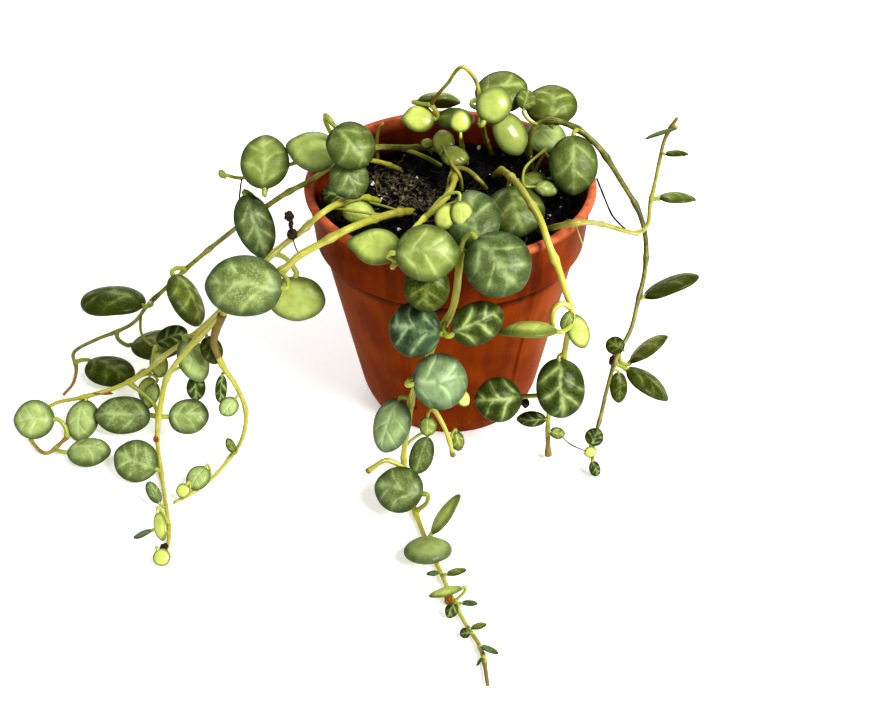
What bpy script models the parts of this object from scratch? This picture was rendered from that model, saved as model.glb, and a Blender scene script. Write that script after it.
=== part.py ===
"""Potted string of turtles: trailing stems with round leaves in a small plastic nursery pot.

Metres, +Z up. The origin is the centre of the pot's flat base. The front of the pot faces -Y.
Lengths in the tables are in millimetres and are turned into metres where they are used.
"""
import math

import bmesh
import bpy
from mathutils import Matrix, Vector, noise

MM = 0.001
OBJECT_NAME = "potted_string_of_turtles"

# Pot, mm
POT_HEIGHT = 54.0
RIM_RADIUS = 30.0
RIM_BEAD = 1.0
COLLAR_TOP_RADIUS = 29.3
COLLAR_BOTTOM_RADIUS = 28.2
COLLAR_BOTTOM_Z = 41.5
STEP_DEPTH = 1.2
WALL_TOP_RADIUS = COLLAR_BOTTOM_RADIUS - STEP_DEPTH
WALL_BOTTOM_RADIUS = 19.8
FOOT_RADIUS = 17.6
FOOT_Z = 5.0
WALL = 1.0
EDGE = 0.5
FLOOR = 1.2
TURN_STEPS = 60
FLUTE_COUNT = 6
FLUTE_FIRST_DEG = 36.0
FLUTE_WIDTH = 2.2
FLUTE_DEPTH = 0.4
FLUTE_BAR = 3.0
FLUTE_BOTTOM_Z = 8.0
FLUTE_TOP_Z = 40.5
DRAIN_COUNT = 8
DRAIN_RADIUS = 2.2
DRAIN_RING_RADIUS = 12.5

# Soil, mm
SOIL_TOP_Z = 46.6
SOIL_RELIEF = 1.1
SOIL_RINGS = 6
SOIL_STEPS = 36

# Clearance kept between pieces that touch, mm
GAP = 0.3

# Stems, mm
STEM_ROOT_Z = 43.0
STEM_COLLAR_Z = 46.0
HOLE_MARGIN = 0.9
HOLE_DEPTH = 8.0
STEM_SPACING = 3.0
STEM_SIDES_RESOLUTION = 1

# Leaves, mm
LEAF_SEGMENTS = 8
LEAF_RINGS = 7
PETIOLE_RADIUS = 0.45
NECK_RADIUS = 0.52
NECK_SHARE = 0.25
LEAF_THICKNESS_SHARE = 0.13
LEAF_CROWN_SHARE = 0.10

# Stems, mm: where each one leaves the soil, then points along it, down to the surface that
# the pot stands on. A branch starts on its stem.
BRANCH_THICK = 1.3
BRANCH_THIN = 0.8
STEMS = {
    "front": {
        "thick": 2.0,
        "thin": 0.8,
        "route": (
            (2.5, -1.5, 48.5), (2.5, -18, 54.5), (2, -26, 56), (1.5, -32.5, 55.5), (1, -34, 50),
            (0, -34.5, 45.5), (-2.5, -35, 40.5), (-5, -35.5, 33.5), (-7.5, -36, 26.5),
            (-8.5, -36.5, 19), (-9.5, -37, 11), (-9, -38, 4.5), (-7.5, -42.5, 1.5),
            (-4.5, -52.5, 1), (-2, -59.5, 1), (0, -65.5, 1), (2.5, -72, 1), (5.5, -78.5, 1),
            (6.5, -86.5, 1)),
        "branches": (
            ((-7, -36, 27.5), (-4, -37, 24.5), (-2, -37.5, 21), (-0.5, -37.5, 16.5),
             (0.5, -37, 11)),
            ((-9.5, -37.5, 8), (-11.5, -38, 10), (-13.5, -38, 10.5), (-17, -38, 7.5)),
        ),
    },
    "front_right": {
        "thick": 1.9,
        "thin": 1.1,
        "route": (
            (10, 11, 48.5), (11, 4.5, 53), (13, -4.5, 56), (15, -14.5, 58), (17, -22, 58),
            (18.5, -26, 55), (20.5, -27.5, 50.5), (22, -28.5, 46), (23.5, -28.5, 41),
            (23, -28, 34), (22.5, -27, 26.5), (21, -26.5, 17), (20.5, -26.5, 10),
            (21, -26.5, 1.5)),
    },
    "right_arch": {
        "thick": 1.6,
        "thin": 0.8,
        "route": (
            (17.5, 12.5, 48.5), (16.5, 10, 55), (16.5, 8, 60), (19.5, 8, 63), (24.5, 6, 63),
            (28.5, 4, 61), (31.5, 3, 58), (35.5, 2, 52), (39.5, 1, 45.5), (41.5, 0, 39),
            (41.5, -3, 33), (40, -7, 27.5), (38.5, -11, 23.5), (35.5, -15, 19.5),
            (33.5, -19, 14.5), (32, -23, 9.5), (30.5, -27, 6), (30, -30, 3), (30, -32, 1)),
    },
    "right_upright": {
        "thick": 1.5,
        "thin": 0.8,
        "route": (
            (18.5, -11.5, 48.5), (19.5, -20, 55), (22, -23.5, 58), (25, -23.5, 58.5),
            (30, -15, 52.5), (35, -12, 49), (38.5, -8, 46), (40.5, -6, 47), (40.5, -6, 51.5),
            (41, -6, 57), (41.5, -5.5, 62), (42, -5, 65.5), (43, -5, 68.5), (44, -5, 70.5)),
    },
    "left_long": {
        "thick": 1.5,
        "thin": 0.8,
        "route": (
            (-3, 21.5, 48.5), (-10, 18, 51), (-16.5, 14, 53), (-23, 6, 54.5), (-28.5, -2.5, 55),
            (-34, -2, 51.5), (-39, -1.5, 47.5), (-44.5, -1, 43), (-51.5, 0, 36.5),
            (-57.5, 1, 30.5), (-62.5, 2, 25), (-67, 2, 20.5), (-71, 3, 15), (-75.5, 4, 11.5),
            (-81, 4, 9), (-87, 5, 4.5), (-86.5, 3, 1.5), (-86, -2.5, 1.5), (-87.5, -6, 1)),
    },
    "left_middle": {
        "thick": 1.5,
        "thin": 0.9,
        "route": (
            (-15.5, 0.5, 48.5), (-18.5, -7.5, 54), (-22, -14.5, 57), (-25, -20, 58),
            (-29, -18, 53), (-33, -16, 48.5), (-36.5, -15, 44.5), (-42, -15, 38),
            (-48.5, -15, 30.5), (-54.5, -15, 24.5), (-61, -14.5, 19), (-66.5, -14, 13.5),
            (-73.5, -14, 9.5), (-81, -13.5, 6.5), (-87, -13, 4.5), (-91, -15, 2.5),
            (-92, -19.5, 1), (-87, -25.5, 1), (-83.5, -20.5, 1)),
    },
    "left_low": {
        "thick": 1.9,
        "thin": 0.9,
        "route": (
            (-9, -4, 48.5), (-13.5, -14.5, 54), (-19, -24, 57.5), (-25, -25, 54.5),
            (-29, -26, 52.5), (-32, -26, 49.5), (-38, -25, 44.5), (-45.5, -24, 37),
            (-51, -23, 30.5), (-55, -22.5, 25.5), (-59, -22.5, 19.5), (-61, -23.5, 13),
            (-62, -26.5, 7), (-61.5, -30, 1.5), (-59, -39.5, 1), (-56.5, -49.5, 1),
            (-56.5, -56, 1)),
        "branches": (
            ((-45.5, -24, 36.5), (-48, -23.5, 30.5), (-47, -23.5, 24), (-44.5, -24, 18.5),
             (-43, -24.5, 12), (-44, -26.5, 6.5), (-47, -26.5, 1), (-50, -33, 1), (-54, -38, 1),
             (-57, -40.5, 1)),
        ),
    },
    "front_left": {
        "thick": 1.8,
        "thin": 1.0,
        "route": (
            (1, 15, 48.5), (0.5, -2.5, 54), (-2, -14.5, 57), (-6, -24.5, 59), (-8, -29.5, 59),
            (-9.5, -31, 56), (-11, -33, 54.5)),
    },
    "top_arch": {
        "thick": 1.3,
        "thin": 0.8,
        "route": (
            (9, 20.5, 48.5), (7.5, 15, 55), (6.5, 5.5, 64), (6, 6, 67.5), (5.5, 7, 71),
            (4.5, 8, 73), (2.5, 8, 75), (1, 9, 73.5), (-0.5, 10, 70.5), (-2.5, 11, 67.5),
            (-4, 12, 64.5)),
    },
    "centre_sprout": {
        "thick": 1.2,
        "thin": 0.8,
        "route": (
            (3.5, 17, 48.5), (2.5, 13.5, 54), (2, 6, 62)),
    },
    "upper_left": {
        "thick": 1.3,
        "thin": 0.8,
        "route": (
            (-11.5, 13.5, 48.5), (-15, 5, 55), (-19.5, -0.5, 59), (-24.5, 1, 58.5),
            (-30.5, 1, 57.5), (-37, 1, 55), (-43, 1, 53.5), (-47, 1, 54.5)),
    },
}

# Leaves, mm and degrees, by stem. Each row is the blade centre (x, y, z), the way its upper side
# faces (azimuth from the front, elevation), its length and width, and the way that it points in
# its own plane (0 is level to the right, 90 is up).
LEAVES = {
    "left_long": (
        (-74, 0, 24, 0, 95, 14.5, 12, 165),
        (-56, -6, 28, 75, 40, 12, 9, -115),
        (-67.5, 6, 7, 0, 92, 12.5, 10.5, 0),
        (-78, 0, 4, 0, 90, 13, 9.5, -35),
        (-40, -6, 46.5, 20, 35, 13, 8, -84),
    ),
    "left_middle": (
        (-90.5, -19, 5, 0, 45, 8.8, 8.6, 180),
        (-77.5, -26, 2.5, 0, 85, 9, 8, 0),
        (-80.5, -18, 4, -10, 50, 9, 7.5, -90),
        (-71, -18, 5.5, 15, 50, 11.5, 8.5, 170),
        (-31, -21, 38.5, 0, 25, 9, 11.5, -90),
        (-53.5, -19.5, 22, 35, 40, 9.5, 6.5, -90),
    ),
    "left_low": (
        (-39.5, -30, 48.5, -5, 45, 15, 12, 180),
        (-66, -31.5, 4.5, 10, 50, 9.2, 9, 150),
        (-55.5, -24, 10.5, 0, 60, 8.5, 8, 0),
    ),
    "upper_left": (
        (-37.5, -2.5, 59.5, 0, 45, 11, 10, 90),
        (-27.5, -2.5, 62, -10, 48, 10, 8.5, 170),
        (-19, -12.5, 69, 15, 45, 9.5, 9.5, -60),
        (-19.5, -14, 62.5, 15, 40, 8, 8, -75),
    ),
    "front_left": (
        (-14, -28.5, 56.5, -20, 55, 9.5, 7.5, 180),
        (-4.5, -36, 60, 0, 40, 11.5, 10.5, 0),
        (-4.5, -37, 53, 0, 35, 9, 8.5, -90),
    ),
    "top_arch": (
        (-2.5, 16, 64, 0, 130, 9, 9, 0),
        (-6.5, 11, 62, 0, 50, 6.5, 6, 180),
        (8.5, 1.5, 70, 0, 35, 7.5, 7.2, 60),
        (12, 0, 64.5, 15, 35, 9.2, 6.8, -70),
        (10.5, 12, 68, 0, 60, 11, 10, 20),
    ),
    "centre_sprout": (
        (1, 12, 62, 0, 95, 9.5, 8, 90),
    ),
    "right_arch": (
        (21, 12, 65, 0, 60, 9.5, 11, 90),
        (20, 14, 56.5, 3, 72, 9.5, 9, 4),
        (25, -1, 58, 0, 38, 12, 10, -90),
        (47, -4, 30.5, 55, 115, 12.5, 8, -45),
        (42, -12, 19.5, 65, 130, 9.5, 7, -50),
        (42.5, -17, 14, 90, 60, 10.5, 8, -110),
    ),
    "right_upright": (
        (45.5, -6, 53.5, 0, 105, 7, 5.5, 0),
    ),
    "front_right": (
        (13, -7.5, 51.5, 0, 60, 11.5, 12, -80),
        (15, -32, 40, 0, 118, 11, 9, 180),
        (22, -32.5, 25, 5, 36, 12, 10, -90),
        (10, -30, 20, 10, 40, 9.5, 9.2, 180),
    ),
    "front": (
        (4, -25.5, 61, -15, 60, 12, 10.5, 110),
        (-7, -38, 44, -15, 36, 10, 10.5, 180),
        (8.5, -36.5, 58, 0, 42, 12.5, 12.5, -50),
        (5, -38, 45.5, 15, 36, 10.5, 8, 15),
        (-2, -41, 34, 10, 45, 10.5, 11, 0),
        (-12, -39.5, 21.5, -30, 40, 11, 8, -90),
        (-10.5, -43, 7.5, -15, 55, 10, 9.6, 180),
        (-4.5, -56, 4.5, 0, 104, 8, 9.5, -85),
        (-1.5, -48.5, 6, 85, 140, 9.5, 5.5, -55),
    ),
}


# ---------------------------------------------------------------- scene and helpers

def clear_scene():
    for item in list(bpy.data.objects):
        bpy.data.objects.remove(item, do_unlink=True)


def new_collection(name):
    collection = bpy.data.collections.new(name)
    bpy.context.scene.collection.children.link(collection)
    return collection


def material(name, color, roughness, metallic=0.0):
    finish = bpy.data.materials.new(name)
    finish.use_nodes = True
    shader = finish.node_tree.nodes["Principled BSDF"]
    shader.inputs["Base Color"].default_value = (*color, 1.0)
    shader.inputs["Roughness"].default_value = roughness
    shader.inputs["Metallic"].default_value = metallic
    return finish


def add_object(name, mesh, collection, finish=None):
    item = bpy.data.objects.new(name, mesh)
    collection.objects.link(item)
    if finish is not None:
        mesh.materials.clear()
        mesh.materials.append(finish)
    return item


def mesh_from(bm, name):
    bmesh.ops.recalc_face_normals(bm, faces=bm.faces)
    mesh = bpy.data.meshes.new(name)
    bm.to_mesh(mesh)
    bm.free()
    return mesh


def evaluated_mesh(item):
    graph = bpy.context.evaluated_depsgraph_get()
    return bpy.data.meshes.new_from_object(item.evaluated_get(graph))


def as_cutter(item):
    item.hide_render = True
    item.display_type = "WIRE"
    return item


def boolean(item, tool, operation):
    change = item.modifiers.new(operation.lower(), "BOOLEAN")
    change.operation = operation
    change.solver = "EXACT"
    change.object = tool
    return change


def shade_round(mesh, sharp_deg=50.0):
    mesh.shade_smooth()
    mesh.set_sharp_from_angle(angle=math.radians(sharp_deg))


# ---------------------------------------------------------------- pot

def wall_radius(z):
    """Outer radius in mm of the tapered wall below the collar."""
    share = (z - FOOT_Z) / (COLLAR_BOTTOM_Z - FOOT_Z)
    return WALL_BOTTOM_RADIUS + share * (WALL_TOP_RADIUS - WALL_BOTTOM_RADIUS)


def inner_radius(z):
    """Inner radius in mm: the foot, the tapered wall and the wider collar."""
    if z < FOOT_Z:
        share = z / FOOT_Z
        return FOOT_RADIUS + share * (WALL_BOTTOM_RADIUS - FOOT_RADIUS) - WALL
    if z < COLLAR_BOTTOM_Z + WALL:
        return wall_radius(z) - WALL
    share = (z - COLLAR_BOTTOM_Z) / (POT_HEIGHT - COLLAR_BOTTOM_Z)
    return COLLAR_BOTTOM_RADIUS + share * (COLLAR_TOP_RADIUS - COLLAR_BOTTOM_RADIUS) - WALL


def pot_profile():
    """Half section in mm: along the inner floor, up the inside, over the rim, down the outside."""
    points = [(0.0, FLOOR), (inner_radius(FLOOR), FLOOR)]
    heights = (FOOT_Z, COLLAR_BOTTOM_Z - EDGE, COLLAR_BOTTOM_Z + WALL + EDGE, POT_HEIGHT - RIM_BEAD)
    points += [(inner_radius(z), z) for z in heights]
    bead_centre = (RIM_RADIUS - RIM_BEAD, POT_HEIGHT - RIM_BEAD)
    for degrees in (125, 90, 45, 0, -45, -80):
        angle = math.radians(degrees)
        points.append((bead_centre[0] + RIM_BEAD * math.cos(angle),
                       bead_centre[1] + RIM_BEAD * math.sin(angle)))
    points += [(COLLAR_BOTTOM_RADIUS, COLLAR_BOTTOM_Z + EDGE),
               (COLLAR_BOTTOM_RADIUS - EDGE, COLLAR_BOTTOM_Z),
               (wall_radius(COLLAR_BOTTOM_Z), COLLAR_BOTTOM_Z),
               (wall_radius(FOOT_Z), FOOT_Z),
               (FOOT_RADIUS + EDGE, EDGE),
               (FOOT_RADIUS, 0.0),
               (0.0, 0.0)]
    return points


def turned_mesh(name, profile, steps):
    """Turns a half section given in mm round the Z axis."""
    bm = bmesh.new()
    verts = [bm.verts.new((radius * MM, 0.0, z * MM)) for radius, z in profile]
    for first, second in zip(verts, verts[1:]):
        bm.edges.new((first, second))
    mesh = bpy.data.meshes.new(name)
    bm.to_mesh(mesh)
    bm.free()
    guide = bpy.data.objects.new(name, mesh)
    bpy.context.scene.collection.objects.link(guide)
    screw = guide.modifiers.new("turn", "SCREW")
    screw.axis = "Z"
    screw.angle = math.tau
    screw.steps = steps
    screw.render_steps = steps
    screw.use_merge_vertices = True
    screw.merge_threshold = 0.00005
    turned = evaluated_mesh(guide)
    bpy.data.objects.remove(guide, do_unlink=True)
    turned.name = name
    return turned


def flute_cutters():
    """Slim bars that lean with the wall and cut the shallow upright flutes."""
    bm = bmesh.new()
    low = Vector((wall_radius(FLUTE_BOTTOM_Z), 0.0, FLUTE_BOTTOM_Z))
    high = Vector((wall_radius(FLUTE_TOP_Z), 0.0, FLUTE_TOP_Z))
    lean = (high - low).to_track_quat("Z", "Y").to_matrix().to_4x4()
    outward = Vector((1.0, 0.0, 0.0)) * (FLUTE_BAR / 2 - FLUTE_DEPTH)
    place = Matrix.Translation(((low + high) / 2 + outward) * MM)
    size = Matrix.Diagonal((FLUTE_BAR * MM, FLUTE_WIDTH * MM, (high - low).length * MM, 1.0))
    for index in range(FLUTE_COUNT):
        turn = FLUTE_FIRST_DEG - 90.0 + index * 360.0 / FLUTE_COUNT
        spin = Matrix.Rotation(math.radians(turn), 4, "Z")
        bmesh.ops.create_cube(bm, size=1.0, matrix=spin @ place @ lean @ size)
    return mesh_from(bm, "flute_cutters")


def drain_cutters():
    bm = bmesh.new()
    for index in range(DRAIN_COUNT):
        angle = math.tau * (index + 0.5) / DRAIN_COUNT
        place = Matrix.Translation((DRAIN_RING_RADIUS * MM * math.cos(angle),
                                    DRAIN_RING_RADIUS * MM * math.sin(angle), 0.0))
        bmesh.ops.create_cone(bm, cap_ends=True, segments=12, radius1=DRAIN_RADIUS * MM,
                              radius2=DRAIN_RADIUS * MM, depth=4 * FLOOR * MM, matrix=place)
    return mesh_from(bm, "drain_cutters")


def build_pot(parts, cutters):
    finish = material("terracotta_plastic", (0.42, 0.12, 0.035), 0.42)
    pot = add_object("pot", turned_mesh("pot", pot_profile(), TURN_STEPS), parts, finish)
    for name, mesh in (("flute_cutters", flute_cutters()), ("drain_cutters", drain_cutters())):
        boolean(pot, as_cutter(add_object(name, mesh, cutters)), "DIFFERENCE")
    shade_round(pot.data)


# ---------------------------------------------------------------- soil

def soil_height(x, y):
    """Height of the soil in mm at a place given in mm: a lumpy, slightly crowned surface."""
    lumps = noise.noise(Vector((x * 0.16, y * 0.16, 3.7)))
    fine = noise.noise(Vector((x * 0.4, y * 0.4, 9.1)))
    return SOIL_TOP_Z + SOIL_RELIEF * (0.7 * lumps + 0.3 * fine)


def build_soil(parts, cutters):
    """A plug of soil that fills the pot, with a planting hole for each stem."""
    top_radius = inner_radius(SOIL_TOP_Z) - GAP
    profile = [(top_radius * ring / SOIL_RINGS, SOIL_TOP_Z) for ring in range(SOIL_RINGS + 1)]
    for z in (COLLAR_BOTTOM_Z + WALL + EDGE, COLLAR_BOTTOM_Z - EDGE, FOOT_Z, FLOOR + GAP):
        profile.append((inner_radius(z) - GAP, z))
    profile.append((0.0, FLOOR + GAP))
    mesh = turned_mesh("soil", profile, SOIL_STEPS)
    rim = (top_radius - EDGE) * MM
    for vert in mesh.vertices:
        across = math.hypot(vert.co.x, vert.co.y)
        if vert.co.z > (SOIL_TOP_Z - EDGE) * MM and across < rim:
            vert.co.z = soil_height(vert.co.x / MM, vert.co.y / MM) * MM
    shade_round(mesh)
    soil = add_object("soil", mesh, parts, material("peat_soil", (0.028, 0.019, 0.014), 0.95))
    bm = bmesh.new()
    for stem in STEMS.values():
        x, y, _ = stem["route"][0]
        radius = stem["thick"] / 2 + HOLE_MARGIN
        place = Matrix.Translation((x * MM, y * MM, (STEM_ROOT_Z - GAP + HOLE_DEPTH / 2) * MM))
        bmesh.ops.create_cone(bm, cap_ends=True, segments=8, radius1=radius * MM,
                              radius2=radius * MM, depth=HOLE_DEPTH * MM, matrix=place)
    holes = as_cutter(add_object("planting_hole_cutters", mesh_from(bm, "planting_holes"), cutters))
    boolean(soil, holes, "DIFFERENCE")


# ---------------------------------------------------------------- stems

def smooth_route(points):
    """Points in mm about STEM_SPACING apart on a Catmull-Rom curve through the given ones."""
    knots = [Vector(point) for point in points]
    ends = [2 * knots[0] - knots[1], *knots, 2 * knots[-1] - knots[-2]]
    route = []
    for index in range(1, len(ends) - 2):
        before, start, stop, after = ends[index - 1:index + 3]
        count = max(1, round((stop - start).length / STEM_SPACING))
        for step in range(count):
            t = step / count
            route.append(0.5 * (2 * start + (stop - before) * t
                                + (2 * before - 5 * start + 4 * stop - after) * t * t
                                + (3 * start - before - 3 * stop + after) * t ** 3))
    route.append(knots[-1])
    return route


def tube_mesh(name, route, thick, thin):
    """A tapered tube along a route in mm, with welded caps."""
    curve = bpy.data.curves.new(name, "CURVE")
    curve.dimensions = "3D"
    curve.bevel_depth = thick / 2 * MM
    curve.bevel_resolution = STEM_SIDES_RESOLUTION
    curve.use_fill_caps = True
    spline = curve.splines.new("POLY")
    spline.points.add(len(route) - 1)
    for index, point in enumerate(route):
        share = index / (len(route) - 1)
        spline.points[index].co = (*(point * MM), 1.0)
        spline.points[index].radius = 1.0 + share * (thin / thick - 1.0)
    guide = bpy.data.objects.new(name, curve)
    bpy.context.scene.collection.objects.link(guide)
    mesh = evaluated_mesh(guide)
    mesh.transform(guide.matrix_world)
    bpy.data.objects.remove(guide, do_unlink=True)
    bm = bmesh.new()
    bm.from_mesh(mesh)
    bpy.data.meshes.remove(mesh)
    bmesh.ops.remove_doubles(bm, verts=bm.verts, dist=0.00002)
    welded = mesh_from(bm, name)
    shade_round(welded)
    return welded


def stem_route(stem):
    """The stem's centreline in mm, from inside its planting hole to its tip."""
    x, y, z = stem["route"][0]
    return smooth_route([(x, y, STEM_ROOT_Z), (x, y, STEM_COLLAR_Z), *stem["route"]])


def build_stems(parts, cutters):
    finish = material("stem_green", (0.36, 0.38, 0.07), 0.5)
    for name, stem in STEMS.items():
        node = f"stem_{name}"
        mesh = tube_mesh(node, stem_route(stem), stem["thick"], stem["thin"])
        item = add_object(node, mesh, parts, finish)
        for index, branch in enumerate(stem.get("branches", ())):
            tool = tube_mesh(f"{node}_branch_{index + 1}", smooth_route(branch),
                             BRANCH_THICK, BRANCH_THIN)
            boolean(item, as_cutter(add_object(tool.name, tool, cutters)), "UNION")


# ---------------------------------------------------------------- leaves

def facing_vector(azimuth, elevation):
    """The way a leaf's upper side faces: azimuth 0 is the front, +90 the right, in degrees."""
    turn = math.radians(azimuth)
    rise = math.radians(elevation)
    return Vector((math.sin(turn) * math.cos(rise), -math.cos(turn) * math.cos(rise),
                   math.sin(rise)))


def leaf_axes(azimuth, elevation, roll):
    """Across, along (leaf stalk to tip) and upward axes of a blade."""
    upward = facing_vector(azimuth, elevation)
    turn = math.radians(azimuth)
    level = Vector((math.cos(turn), math.sin(turn), 0.0))
    rising = upward.cross(level)
    angle = math.radians(roll)
    along = level * math.cos(angle) + rising * math.sin(angle)
    return along.cross(upward), along, upward


def nearest_on_routes(point, routes):
    """Nearest place to a point on any of the routes, and the share of the way along its route."""
    best = None
    for route in routes:
        for index, (start, stop) in enumerate(zip(route, route[1:])):
            run = stop - start
            share = min(1.0, max(0.0, (point - start).dot(run) / run.length_squared))
            place = start + share * run
            if best is None or (place - point).length < best[1]:
                best = (place, (place - point).length, (index + share) / (len(route) - 1))
    return best


def ring_round(centre, axis, radius, like):
    """A ring of points round an axis, as many as in like, and in the same order."""
    axis = axis.normalized()
    ring = []
    for point in like:
        arm = point - centre
        arm = arm - axis * arm.dot(axis)
        ring.append(centre + arm.normalized() * radius)
    return ring


def leaf_mesh(name, leaf, stem):
    """A thick crowned blade on a short stalk that ends just short of its stem."""
    x, y, z, azimuth, elevation, length, width, roll = leaf
    across, along, upward = leaf_axes(azimuth, elevation, roll)
    centre = Vector((x, y, z))
    bm = bmesh.new()
    bmesh.ops.create_uvsphere(bm, u_segments=LEAF_SEGMENTS, v_segments=LEAF_RINGS, radius=1.0,
                              matrix=Matrix.Rotation(math.radians(-90.0), 4, "X"))
    base = min(bm.verts, key=lambda vert: vert.co.y)
    thickness = LEAF_THICKNESS_SHARE * width
    for vert in bm.verts:
        u, v, w = vert.co
        droop = LEAF_CROWN_SHARE * width * (u * u + v * v)
        vert.co = (centre + across * (u * width / 2) + along * (v * length / 2)
                   + upward * (w * thickness - droop))
    bmesh.ops.dissolve_verts(bm, verts=[base])
    joint = centre - along * (length / 2) - upward * (LEAF_CROWN_SHARE * width)
    routes = [stem_route(stem)] + [smooth_route(branch) for branch in stem.get("branches", ())]
    place, distance, share = nearest_on_routes(joint, routes)
    stem_radius = (stem["thick"] + share * (stem["thin"] - stem["thick"])) / 2
    reach = joint - place
    end = place + reach.normalized() * (stem_radius + GAP)
    cap = min((face for face in bm.faces if len(face.verts) == LEAF_SEGMENTS),
              key=lambda face: (face.calc_center_median() - joint).length)
    cap_points = [vert.co.copy() for vert in cap.verts]
    stalk = end - joint
    neck_axis = (stalk.normalized() - along).normalized()
    for centre_point, axis, radius in ((joint + stalk * NECK_SHARE, neck_axis, NECK_RADIUS),
                                       (end, stalk, PETIOLE_RADIUS)):
        made = bmesh.ops.extrude_face_region(bm, geom=[cap])
        face = next(item for item in made["geom"] if isinstance(item, bmesh.types.BMFace))
        bmesh.ops.delete(bm, geom=[cap], context="FACES_KEEP_BOUNDARY")
        like = [vert.co.copy() for vert in face.verts]
        shift = centre_point - sum(like, Vector()) / len(like)
        like = [point + shift for point in like]
        for vert, point in zip(face.verts, ring_round(centre_point, axis, radius, like)):
            vert.co = point
        cap = face
    for vert in bm.verts:
        vert.co *= MM
    mesh = mesh_from(bm, name)
    shade_round(mesh)
    return mesh


def build_leaves(parts):
    finish = material("leaf_green", (0.11, 0.23, 0.05), 0.38)
    for name, leaves in LEAVES.items():
        for index, leaf in enumerate(leaves):
            node = f"leaf_{name}_{index + 1}"
            add_object(node, leaf_mesh(node, leaf, STEMS[name]), parts, finish)


def main():
    clear_scene()
    parts = new_collection(OBJECT_NAME)
    cutters = new_collection("cutters")
    build_pot(parts, cutters)
    build_soil(parts, cutters)
    build_stems(parts, cutters)
    build_leaves(parts)


main()
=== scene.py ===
"""Potted string of turtles: trailing stems with thick veined leaves in a small plastic pot of soil.

The pot, the soil, the stems and the larger leaves keep to the fixed frame, and the small pieces are
placed round them. Lengths in the tables are millimetres, turned into metres by MM.
"""

import math
import random

import bmesh
import bpy
from bpy.props import FloatProperty, FloatVectorProperty, IntProperty, PointerProperty
from mathutils import Matrix, Vector, noise


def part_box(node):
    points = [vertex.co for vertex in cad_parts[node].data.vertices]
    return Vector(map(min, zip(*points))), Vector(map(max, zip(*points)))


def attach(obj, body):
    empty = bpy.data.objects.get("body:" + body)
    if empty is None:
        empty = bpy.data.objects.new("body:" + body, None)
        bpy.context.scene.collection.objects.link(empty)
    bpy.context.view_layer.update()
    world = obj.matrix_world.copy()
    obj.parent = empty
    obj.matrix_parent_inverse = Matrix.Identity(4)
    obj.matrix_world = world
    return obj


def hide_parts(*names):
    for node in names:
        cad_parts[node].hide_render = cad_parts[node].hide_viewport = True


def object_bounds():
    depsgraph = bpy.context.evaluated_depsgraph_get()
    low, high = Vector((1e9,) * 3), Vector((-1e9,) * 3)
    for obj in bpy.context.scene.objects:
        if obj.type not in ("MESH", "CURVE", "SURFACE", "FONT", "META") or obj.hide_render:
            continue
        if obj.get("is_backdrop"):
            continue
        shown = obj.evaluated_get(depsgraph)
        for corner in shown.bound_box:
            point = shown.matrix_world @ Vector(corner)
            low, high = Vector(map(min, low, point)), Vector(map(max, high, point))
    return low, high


bl_info = {
    "name": "Potted string of turtles",
    "version": (1, 0, 0),
    "blender": (4, 5, 0),
    "location": "3D View > Sidebar > Plant",
    "description": "Finishes a trailing plant in a small pot round its fixed frame",
    "category": "Add Mesh",
}

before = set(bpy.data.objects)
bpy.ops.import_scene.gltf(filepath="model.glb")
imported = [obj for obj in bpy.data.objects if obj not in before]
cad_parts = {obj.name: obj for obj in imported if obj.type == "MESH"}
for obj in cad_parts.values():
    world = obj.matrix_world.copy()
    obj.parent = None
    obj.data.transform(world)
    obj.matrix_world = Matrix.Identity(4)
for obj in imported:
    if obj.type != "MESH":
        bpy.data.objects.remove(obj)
CAD_LOW, CAD_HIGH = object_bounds()

MM = 0.001
BODY = "root"

# Pot and soil
POT_LOW, POT_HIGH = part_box("pot")
FLUTE_COUNT = 6
FLUTE_FIRST_DEG = 36.0
DRAIN_COUNT = 8
SOIL_TOP = 46.6 * MM
SOIL_RINGS = 84
SOIL_STEPS = 260

# How lumpy a crumb is, the angle from which its edges are sharp, and the sides of a fibre
CRUMB_ROUGH = 0.9
CRUMB_SHARP_DEG = 35.0
FIBRE_SIDES = 4

# Heaps of dry clods on the soil: middle (x, y) and radius in mm
CLOD_PATCHES = ((-8.5, 6.5, 6.0), (-13.5, 11.5, 4.0), (-5.5, 0.5, 4.0))

# How a stem dives into the soil: backward share of its first run and height in mm, and how far
# from the pot's middle it may go, and how far round it the crumbs are banked up
STEM_DIVE = ((0.62, 42.5), (0.42, 45.2))
STEM_DIVE_LIMIT = 25.0
STEM_BANK = 2.6

# Thickness of a side branch at its two ends, mm
BRANCH_THICK = 1.3
BRANCH_THIN = 0.8

# Veins, in half widths of the blade: how steeply the side veins lean to the tip, how much they
# curve, how faint they are beside the middle vein, and where the values that bend them are read
VEIN_LEAN = 0.95
VEIN_CURVE = 0.38
SIDE_WEIGHT = 1.25
SWIRL_SHIFTS = ((9.3, -1.5, -8.0), (0.0, 0.0, 0.0), (6.3, 0.2, -2.7))

# The stems, and which of their routes, whose free end is flared
FLARED_ENDS = {"front": (1, 2), "front_right": (0,)}
FLARE_LENGTH = 1.6 * MM
FLARE_SIZE = 0.65

# How far the end of a tube is rounded, over its radius, the length that streaks are measured in,
# and how far apart the swollen joints of a bare stem are
TIP_SHARE = 0.7
RUN_UNIT = 2.0 * MM
JOINT_SPACING = 11.0 * MM

# Radius of the stalk of a leaf and of a small leaf
STALK_RADIUS = 0.48 * MM
SMALL_STALK_RADIUS = 0.30 * MM

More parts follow.
